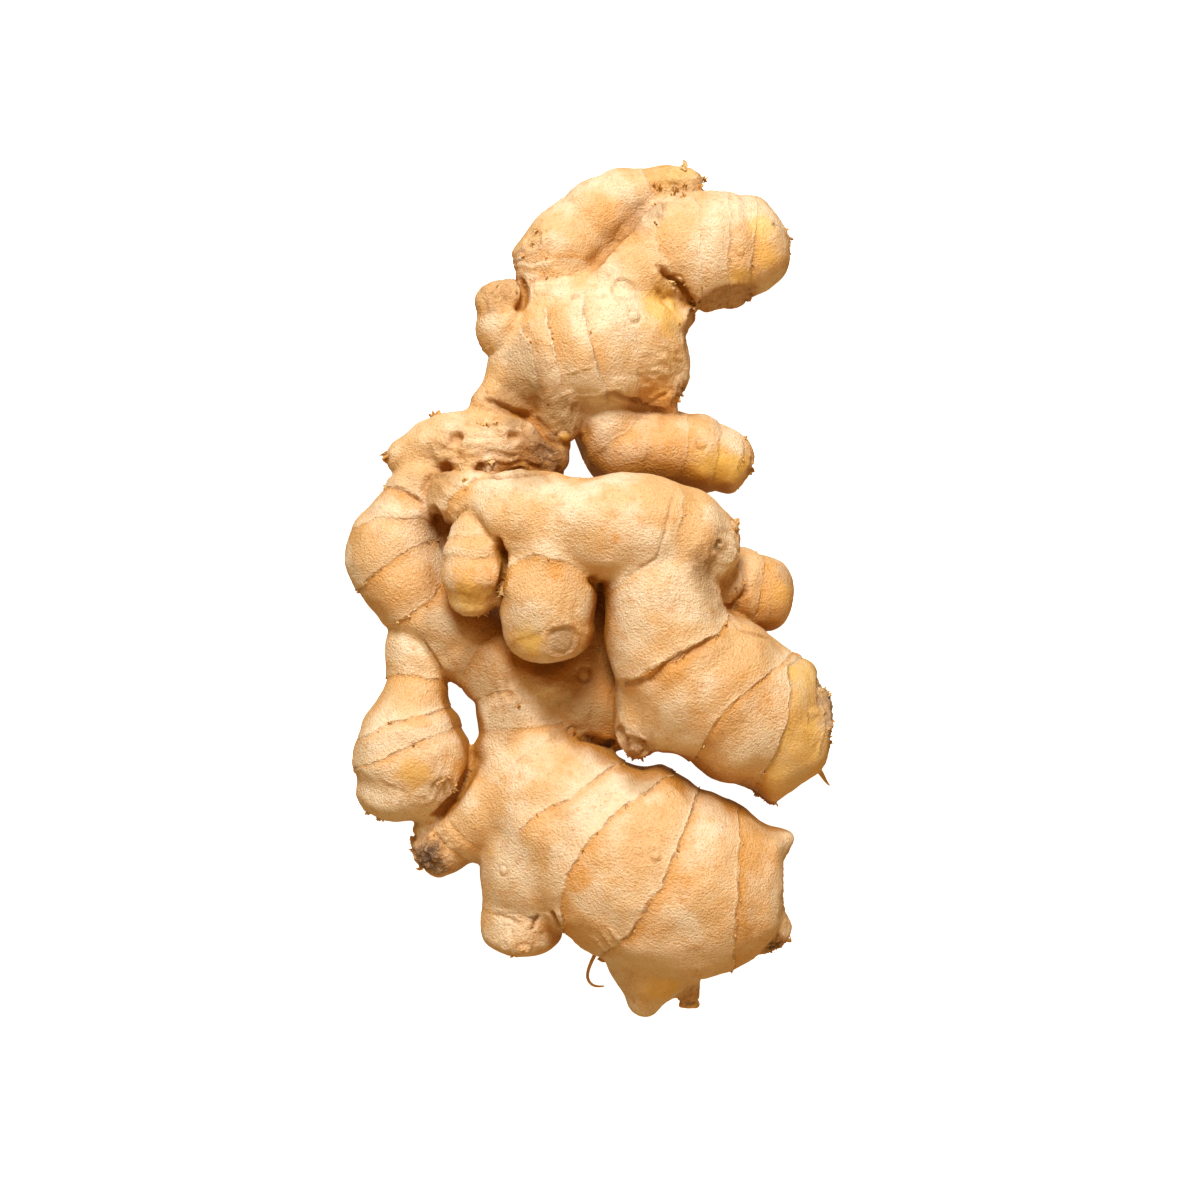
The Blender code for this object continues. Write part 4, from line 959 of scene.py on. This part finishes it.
skinPiece = startSkin()
pullSkin(skinPiece)
print("skin started", len(skinPiece.data.polygons))
topTree = BVHTree.FromObject(skinPiece, bpy.context.evaluated_depsgraph_get())
tops = {}


# A place in mm from the fingers' drawing: on top of the skin, or at the height given.
def spotAt(x, y, height=None):
    if height is not None:
        return np.array([x, y, height]) - rootShift
    if (x, y) not in tops:
        a, b = x - rootShift[0], y - rootShift[1]
        hit = topTree.ray_cast(Vector((a * mm, b * mm, 0.1)), Vector((0, 0, -1)))[0]
        tops[(x, y)] = np.array([a, b, 0.0 if hit is None else hit.z / mm])
    return tops[(x, y)]


shapeSkin(skinPiece)
print("skin shaped")
applyModifier(skinPiece, "DECIMATE", ratio=skinRelief["mostTriangles"] / (2 * len(skinPiece.data.polygons)))
print("skin thinned", len(skinPiece.data.polygons))
skinFacts = paintSkin(skinPiece)
print("skin painted")
makeActive(skinPiece)
bpy.ops.object.shade_smooth()
skinPiece.data.materials.clear()
skinPiece.data.materials.append(gingerSkinMaterial())
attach(skinPiece, "root")
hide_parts("ginger_root")

# Papery flakes of dried skin. clusters are x, y, a height for what isn't on top, half width in mm, how many,
# and mm long.
flakes = dict(
    kinds=4,               # different models, each wider and more curled than the one before
    thicknessMm=0.14,
    unevenMm=0.14,         # how far their points stray
    width=0.55,            # of the length, and how much wider the next model is
    widthStep=0.12,
    curl=35,               # degrees, and how much more the next model has
    curlStep=18,
    onRings=230,           # how many stand along the growth rings
    ringFlakeMm=0.9,
    ringReachMm=0.35,      # how near a ring they stand
    rootedMm=0.12,         # how deep the root of a flake is in the skin
    clusters=[
        (17.5, 86.5, 4.6, 5, 1.8), (22, 86.3, 15, 2.5, 3, 1.6), (13.5, 83.5, 3, 3, 1.8),
        (17.8, 64.6, 2, 4, 1.6), (21.8, 58.9, 16, 2, 4, 1.6), (-19.2, -0.3, 1.6, 3, 2.6),
        (18.2, 41.3, 17, 2.4, 4, 1.3), (29.8, 12.8, 2.4, 4, 1.2), (8.8, -34.5, 19, 3.2, 9, 1.7),
        (-6, 24.6, 3, 3, 1.4), (-22.2, 35, 2.4, 4, 1.7), (-24.2, 24.4, 4, 5, 1.7),
        (-36, -56, 9, 4.4, 9, 1.6), (38.5, -75, 10, 3.6, 8, 1.6), (2.6, -75.4, 9, 3.4, 11, 2.2),
        (50.5, -26, 16, 8.5, 16, 1.6), (36.4, -43, 11, 3.2, 5, 1.4), (-45.7, -46.1, 10, 3, 5, 1.4),
        (-31.4, -41.1, 3.6, 5, 1.4), (33.6, 25.2, 11, 3, 3, 1.1), (-12.5, 71.6, 3, 2, 1.3),
        (-19, 62, 3.2, 3, 1.2), (-24.8, -3.8, 26, 3.6, 5, 1.5), (41.4, 73, 12, 3.4, 5, 1.3),
        (-17, -22.4, 2.4, 3, 1.4), (-43.5, 27, 16, 2, 3, 1.6), (31.6, 0.5, 2.5, 3, 1.3),
        (-15, -75, 3.6, 3, 1.2), (-33.5, 36.5, 17, 2, 2, 1.5), (49.8, -39.2, 13, 1.6, 3, 2.2),
        (12, 57, 20, 3, 2, 1.2),
    ],
)
flakeLook = dict(straw="#EACB92", goldAndShade="#D39C4C", shadeAndBrown="#96602C", roughness=0.6,
                 mottlePerMetre=260.0,       # spots of 4 mm
                 fibrePerMetre=1500.0)       # fibres of 0.7 mm


# Dried ginger skin: papery and brittle, straw coloured with browned edges and painted shade where it lies in
# creases, a little shine.
def flakeMaterial():
    material, look = startMaterial("paperyDriedGingerSkin", flakeLook)
    tree = material.node_tree
    mathNode, mixNode, mixed = "ShaderNodeMath", "ShaderNodeMix", {"data_type": "RGBA"}
    place = addNode(tree, "ShaderNodeTexCoord", {}, {}, "Object")
    broad = addNode(tree, "ShaderNodeTexNoise", {}, {
        "Vector": place, "Scale": look["mottlePerMetre"], "Detail": 2.0})
    fine = addNode(tree, "ShaderNodeTexNoise", {}, {
        "Vector": place, "Scale": look["fibrePerMetre"], "Detail": 3.0})
    amount = addNode(tree, "ShaderNodeMapRange", {}, {"Value": broad, "From Min": 0.35, "From Max": 0.65})
    base = addNode(tree, mixNode, mixed, {0: amount, 6: look["goldAndShade"], 7: look["straw"]})
    tone = addNode(tree, "ShaderNodeAttribute", {"attribute_name": "brownedAndShaded"}, {}, "Fac")
    amount = addNode(tree, mathNode, {"operation": "MULTIPLY_ADD", "use_clamp": True}, {
        0: fine, 1: 1.2, 2: -0.5})
    amount = addNode(tree, mathNode, {"operation": "ADD", "use_clamp": True}, {0: amount, 1: tone})
    base = addNode(tree, mixNode, mixed, {0: amount, 6: base, 7: look["shadeAndBrown"]})
    bump = addNode(tree, "ShaderNodeBump", {}, {"Strength": 0.7, "Distance": 0.2 * mm, "Height": fine})
    shader = addNode(tree, "ShaderNodeBsdfPrincipled", {}, {
        "Base Color": base, "Roughness": look["roughness"], "Normal": bump, "Subsurface Weight": 0.1,
        "Subsurface Radius": (1.0, 0.5, 0.2), "Subsurface Scale": 0.6 * mm})
    addNode(tree, "ShaderNodeOutputMaterial", {}, {"Surface": shader})
    return material


# One curled flake, 1 mm long with its root at the origin, which grows along +X.
def flakeModel(number):
    deselectAll()
    bpy.ops.mesh.primitive_grid_add(x_subdivisions=4, y_subdivisions=3, size=mm, location=(0.5 * mm, 0, 0))
    piece = bpy.context.object
    bpy.ops.object.mode_set(mode="EDIT")
    bpy.ops.mesh.select_all(action="SELECT")
    bpy.ops.transform.resize(value=(1, flakes["width"] + flakes["widthStep"] * number, 1))
    bpy.ops.transform.vertex_random(offset=flakes["unevenMm"] * mm, seed=number + 3)
    bpy.ops.object.mode_set(mode="OBJECT")
    bpy.ops.object.transform_apply(location=True, rotation=True, scale=True)
    curl = math.radians(flakes["curl"] + flakes["curlStep"] * number)
    applyModifier(piece, "SIMPLE_DEFORM", deform_method="BEND", deform_axis="Y", angle=-curl)
    applyModifier(piece, "SOLIDIFY", thickness=flakes["thicknessMm"] * mm, offset=0)
    return piece


# Where flakes grow: the skin's point, how long each is in mm and how loose, from 0 to 1.
def flakePlaces(facts, rng):
    points = facts["points"]
    places = []
    for x, y, *height, half, count, long in flakes["clusters"]:
        near = np.where(np.linalg.norm(points - spotAt(x, y, *height), axis=1) < half)[0]
        if len(near):
            places += [(i, long, 1.0) for i in rng.choice(near, min(count, len(near)), replace=False)]
    strength = facts["ringStrength"]
    ringed = np.where((np.abs(facts["fromRing"] + 0.2) < flakes["ringReachMm"]) & (strength > 0.3)
                      & (noiseAt(points, 3.5, 91) > -0.1) & (points[:, 2] > 4))[0]
    chance = strength[ringed] ** 2
    chosen = rng.choice(ringed, min(flakes["onRings"], len(ringed)), replace=False, p=chance / chance.sum())
    return places + [(i, flakes["ringFlakeMm"], 0.0) for i in chosen]


def growFlakes(facts):
    models = [flakeModel(number) for number in range(flakes["kinds"])]
    rng = np.random.RandomState(21)
    copies = []
    for i, long, loose in flakePlaces(facts, rng):
        normal, way = facts["normals"][i], facts["way"][i]
        forward = way - normal * (way @ normal)
        forward /= max(np.linalg.norm(forward), 1e-6)
        side = np.cross(normal, forward)
        turn = rng.normal() * (0.3 + 0.5 * loose)
        lift = rng.uniform(0.0, 0.22) + loose * rng.uniform(0, 0.25)
        ahead = math.cos(turn) * forward + math.sin(turn) * side
        beside = np.cross(normal, ahead)
        up = math.cos(lift) * normal - math.sin(lift) * ahead
        ahead = math.cos(lift) * ahead + math.sin(lift) * normal
        size = long * rng.uniform(0.55, 1.25)
        wide = size * rng.uniform(0.6, 1.3)
        start = facts["points"][i] - normal * flakes["rootedMm"] - ahead * 0.25 * size
        model = models[rng.randint(len(models))]
        copy = model.copy()
        copy.data = model.data.copy()
        bpy.context.scene.collection.objects.link(copy)
        matrix = Matrix((ahead * size, beside * wide, up * size)).transposed().to_4x4()
        matrix.translation = Vector(start * mm)
        copy.data.transform(matrix)
        # browned at random, and painted shade where the flake stands in a crease
        brownedAndShaded = np.clip(rng.normal(0.04, 0.16) + 0.15 * facts["closed"][i], 0, 0.9)
        setAttribute(copy, "brownedAndShaded", np.full(len(copy.data.vertices), brownedAndShaded))
        copies.append(copy)
    deselectAll()
    for model in models:
        model.select_set(True)
    bpy.ops.object.delete()
    makeActive(copies[0])
    for copy in copies:
        copy.select_set(True)
    bpy.ops.object.join()
    piece = bpy.context.object
    piece.name = "skinFlakes"
    points = readPoints(piece)
    points[:, 2] = np.maximum(points[:, 2], 0.02)       # none goes into the table
    writePoints(piece, points)
    makeActive(piece)
    bpy.ops.object.shade_smooth_by_angle(angle=math.radians(50))
    piece.data.materials.append(flakeMaterial())
    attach(piece, "root")
    return piece


flakePiece = growFlakes(skinFacts)
print("flakes grown", len(flakePiece.data.polygons))

# The hair roots: x, y, z and half width in mm at each point of the fingers' drawing.
hairs = dict(
    curl=[(1.6, -75.6, 9, 0.5), (0.4, -77.6, 8.6, 0.42), (-0.6, -79.8, 8.6, 0.36), (-1.2, -81.8, 9.2, 0.34),
          (-0.7, -83.4, 9.8, 0.32), (0.7, -84.2, 10, 0.28), (2.5, -84, 9.6, 0.16)],
    barb=[(45.8, -35.6, 13.6, 0.9), (47.6, -37.6, 13, 0.7), (48.8, -39.4, 12.6, 0.45),
          (49.6, -40.8, 12.2, 0.28), (50.2, -41.3, 12, 0.12)],
    thorn=[(-41.5, 26.8, 16, 1.1), (-43, 27, 16.4, 0.7), (-44, 27.4, 17, 0.25)],
)


def growHair(points):
    deselectAll()
    bpy.ops.curve.primitive_nurbs_path_add(location=(0, 0, 0))
    piece = bpy.context.object
    curve = piece.data
    curve.splines.clear()
    spline = curve.splines.new("NURBS")
    spline.points.add(len(points) - 1)
    for point, (x, y, z, half) in zip(spline.points, points):
        point.co = (*(spotAt(x, y, z) * mm), 1)
        point.radius = half
    spline.use_endpoint_u = True
    spline.order_u = 4
    curve.bevel_depth = mm
    curve.bevel_resolution = 3
    curve.resolution_u = 8
    curve.use_fill_caps = True
    makeActive(piece)
    bpy.ops.object.convert(target="MESH")
    return bpy.context.object


# The short stub of a broken root, lying on its side: y and half width in mm at each step, from its base.
stub = dict(
    x=20.6, z=7.9, sides=20, unevenMm=0.12,
    steps=[(-80.5, 2.4), (-83.6, 2.25), (-85.4, 2.15), (-86.7, 2.3), (-87.1, 1.75), (-87.5, 2.2),
           (-88.5, 2.35), (-88.9, 1.7)],
)


def growStub():
    deselectAll()
    rings = stub["steps"]
    start = Vector(spotAt(stub["x"], rings[0][0], stub["z"]) * mm)
    bpy.ops.mesh.primitive_circle_add(vertices=stub["sides"], radius=rings[0][1] * mm, fill_type="NGON",
                                      rotation=(math.radians(90), 0, 0), location=start)
    piece = bpy.context.object
    bpy.ops.object.transform_apply(location=True, rotation=True, scale=True)
    bpy.ops.object.mode_set(mode="EDIT")
    bpy.ops.mesh.select_all(action="SELECT")
    for (y0, half0), (y1, half1) in zip(rings, rings[1:]):
        bpy.ops.mesh.extrude_region_move(TRANSFORM_OT_translate={"value": (0, (y1 - y0) * mm, 0)})
        bpy.ops.transform.resize(value=(half1 / half0,) * 3)
    bpy.ops.mesh.select_all(action="SELECT")
    bpy.ops.transform.vertex_random(offset=stub["unevenMm"] * mm, seed=4)
    bpy.ops.mesh.normals_make_consistent(inside=False)
    bpy.ops.object.mode_set(mode="OBJECT")
    applyModifier(piece, "SUBSURF", levels=2, render_levels=2)
    return piece


hairPieces = [growHair(points) for points in hairs.values()] + [growStub()]
makeActive(hairPieces[0])
for hair in hairPieces:
    hair.select_set(True)
bpy.ops.object.join()
hairPiece = bpy.context.object
hairPiece.name = "rootHairs"
setAttribute(hairPiece, "brownedAndShaded", np.full(len(hairPiece.data.vertices), 0.15))
bpy.ops.object.shade_smooth()
hairPiece.data.materials.append(flakePiece.data.materials[0])
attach(hairPiece, "root")
print("hairs grown")

# Floor, light and camera: metres, watts and hex colours.
studio = dict(
    floorSize=4.0, floorHex="#FFFFFF", floorGlow=1.0, floorRoughness=0.9,
    cameraPlace=(0.0025, -0.0016, 0.716), lens=100, sensorWidth=36, clipStart=0.01,
    keyPlace=(-0.12, 1.0, 1.05), keySize=0.5, keyPower=26.5, keyHex="#FFFFFF",
    fillPlace=(0.5, -0.9, 1.1), fillSize=1.4, fillPower=3.0, fillHex="#FFCC88",
    airStrength=0.42, airHex="#FFCC88",
)


# Matt white table: its own glow keeps it plain white, without the root's shadow.
def floorMaterial():
    material = bpy.data.materials.new("mattWhiteTable")
    material.use_nodes = True
    inputs = material.node_tree.nodes["Principled BSDF"].inputs
    inputs["Base Color"].default_value = colour(studio["floorHex"])
    inputs["Roughness"].default_value = studio["floorRoughness"]
    inputs["Emission Color"].default_value = colour(studio["floorHex"])
    inputs["Emission Strength"].default_value = studio["floorGlow"]
    return material


deselectAll()
bpy.ops.mesh.primitive_plane_add(size=studio["floorSize"], location=(0, 0, 0))
floor = bpy.context.object
floor.name = "studioFloor"
floor.data.materials.append(floorMaterial())
floor.visible_diffuse = False  # the white floor would light the root from below
floor.visible_glossy = False


def areaLight(name):
    place = studio[name + "Place"]
    deselectAll()
    bpy.ops.object.light_add(type="AREA", location=place)
    lamp = bpy.context.object
    lamp.name = name + "Light"
    lamp.data.shape = "DISK"
    lamp.data.size = studio[name + "Size"]
    lamp.data.energy = studio[name + "Power"]
    lamp.data.color = colour(studio[name + "Hex"])[:3]
    lamp.rotation_euler = (-Vector(place)).to_track_quat("-Z", "Y").to_euler()


areaLight("key")
areaLight("fill")
world = bpy.data.worlds.new("studioAir")
world.use_nodes = True
background = world.node_tree.nodes["Background"]
background.inputs["Color"].default_value = colour(studio["airHex"])
background.inputs["Strength"].default_value = studio["airStrength"]
bpy.context.scene.world = world
bpy.context.scene.view_settings.view_transform = "Standard"

deselectAll()
bpy.ops.object.camera_add(location=studio["cameraPlace"], rotation=(0, 0, 0))
camera = bpy.context.object
camera.data.lens = studio["lens"]
camera.data.sensor_width = studio["sensorWidth"]
camera.data.clip_start = studio["clipStart"]
bpy.context.scene.camera = camera

print("scene ready")
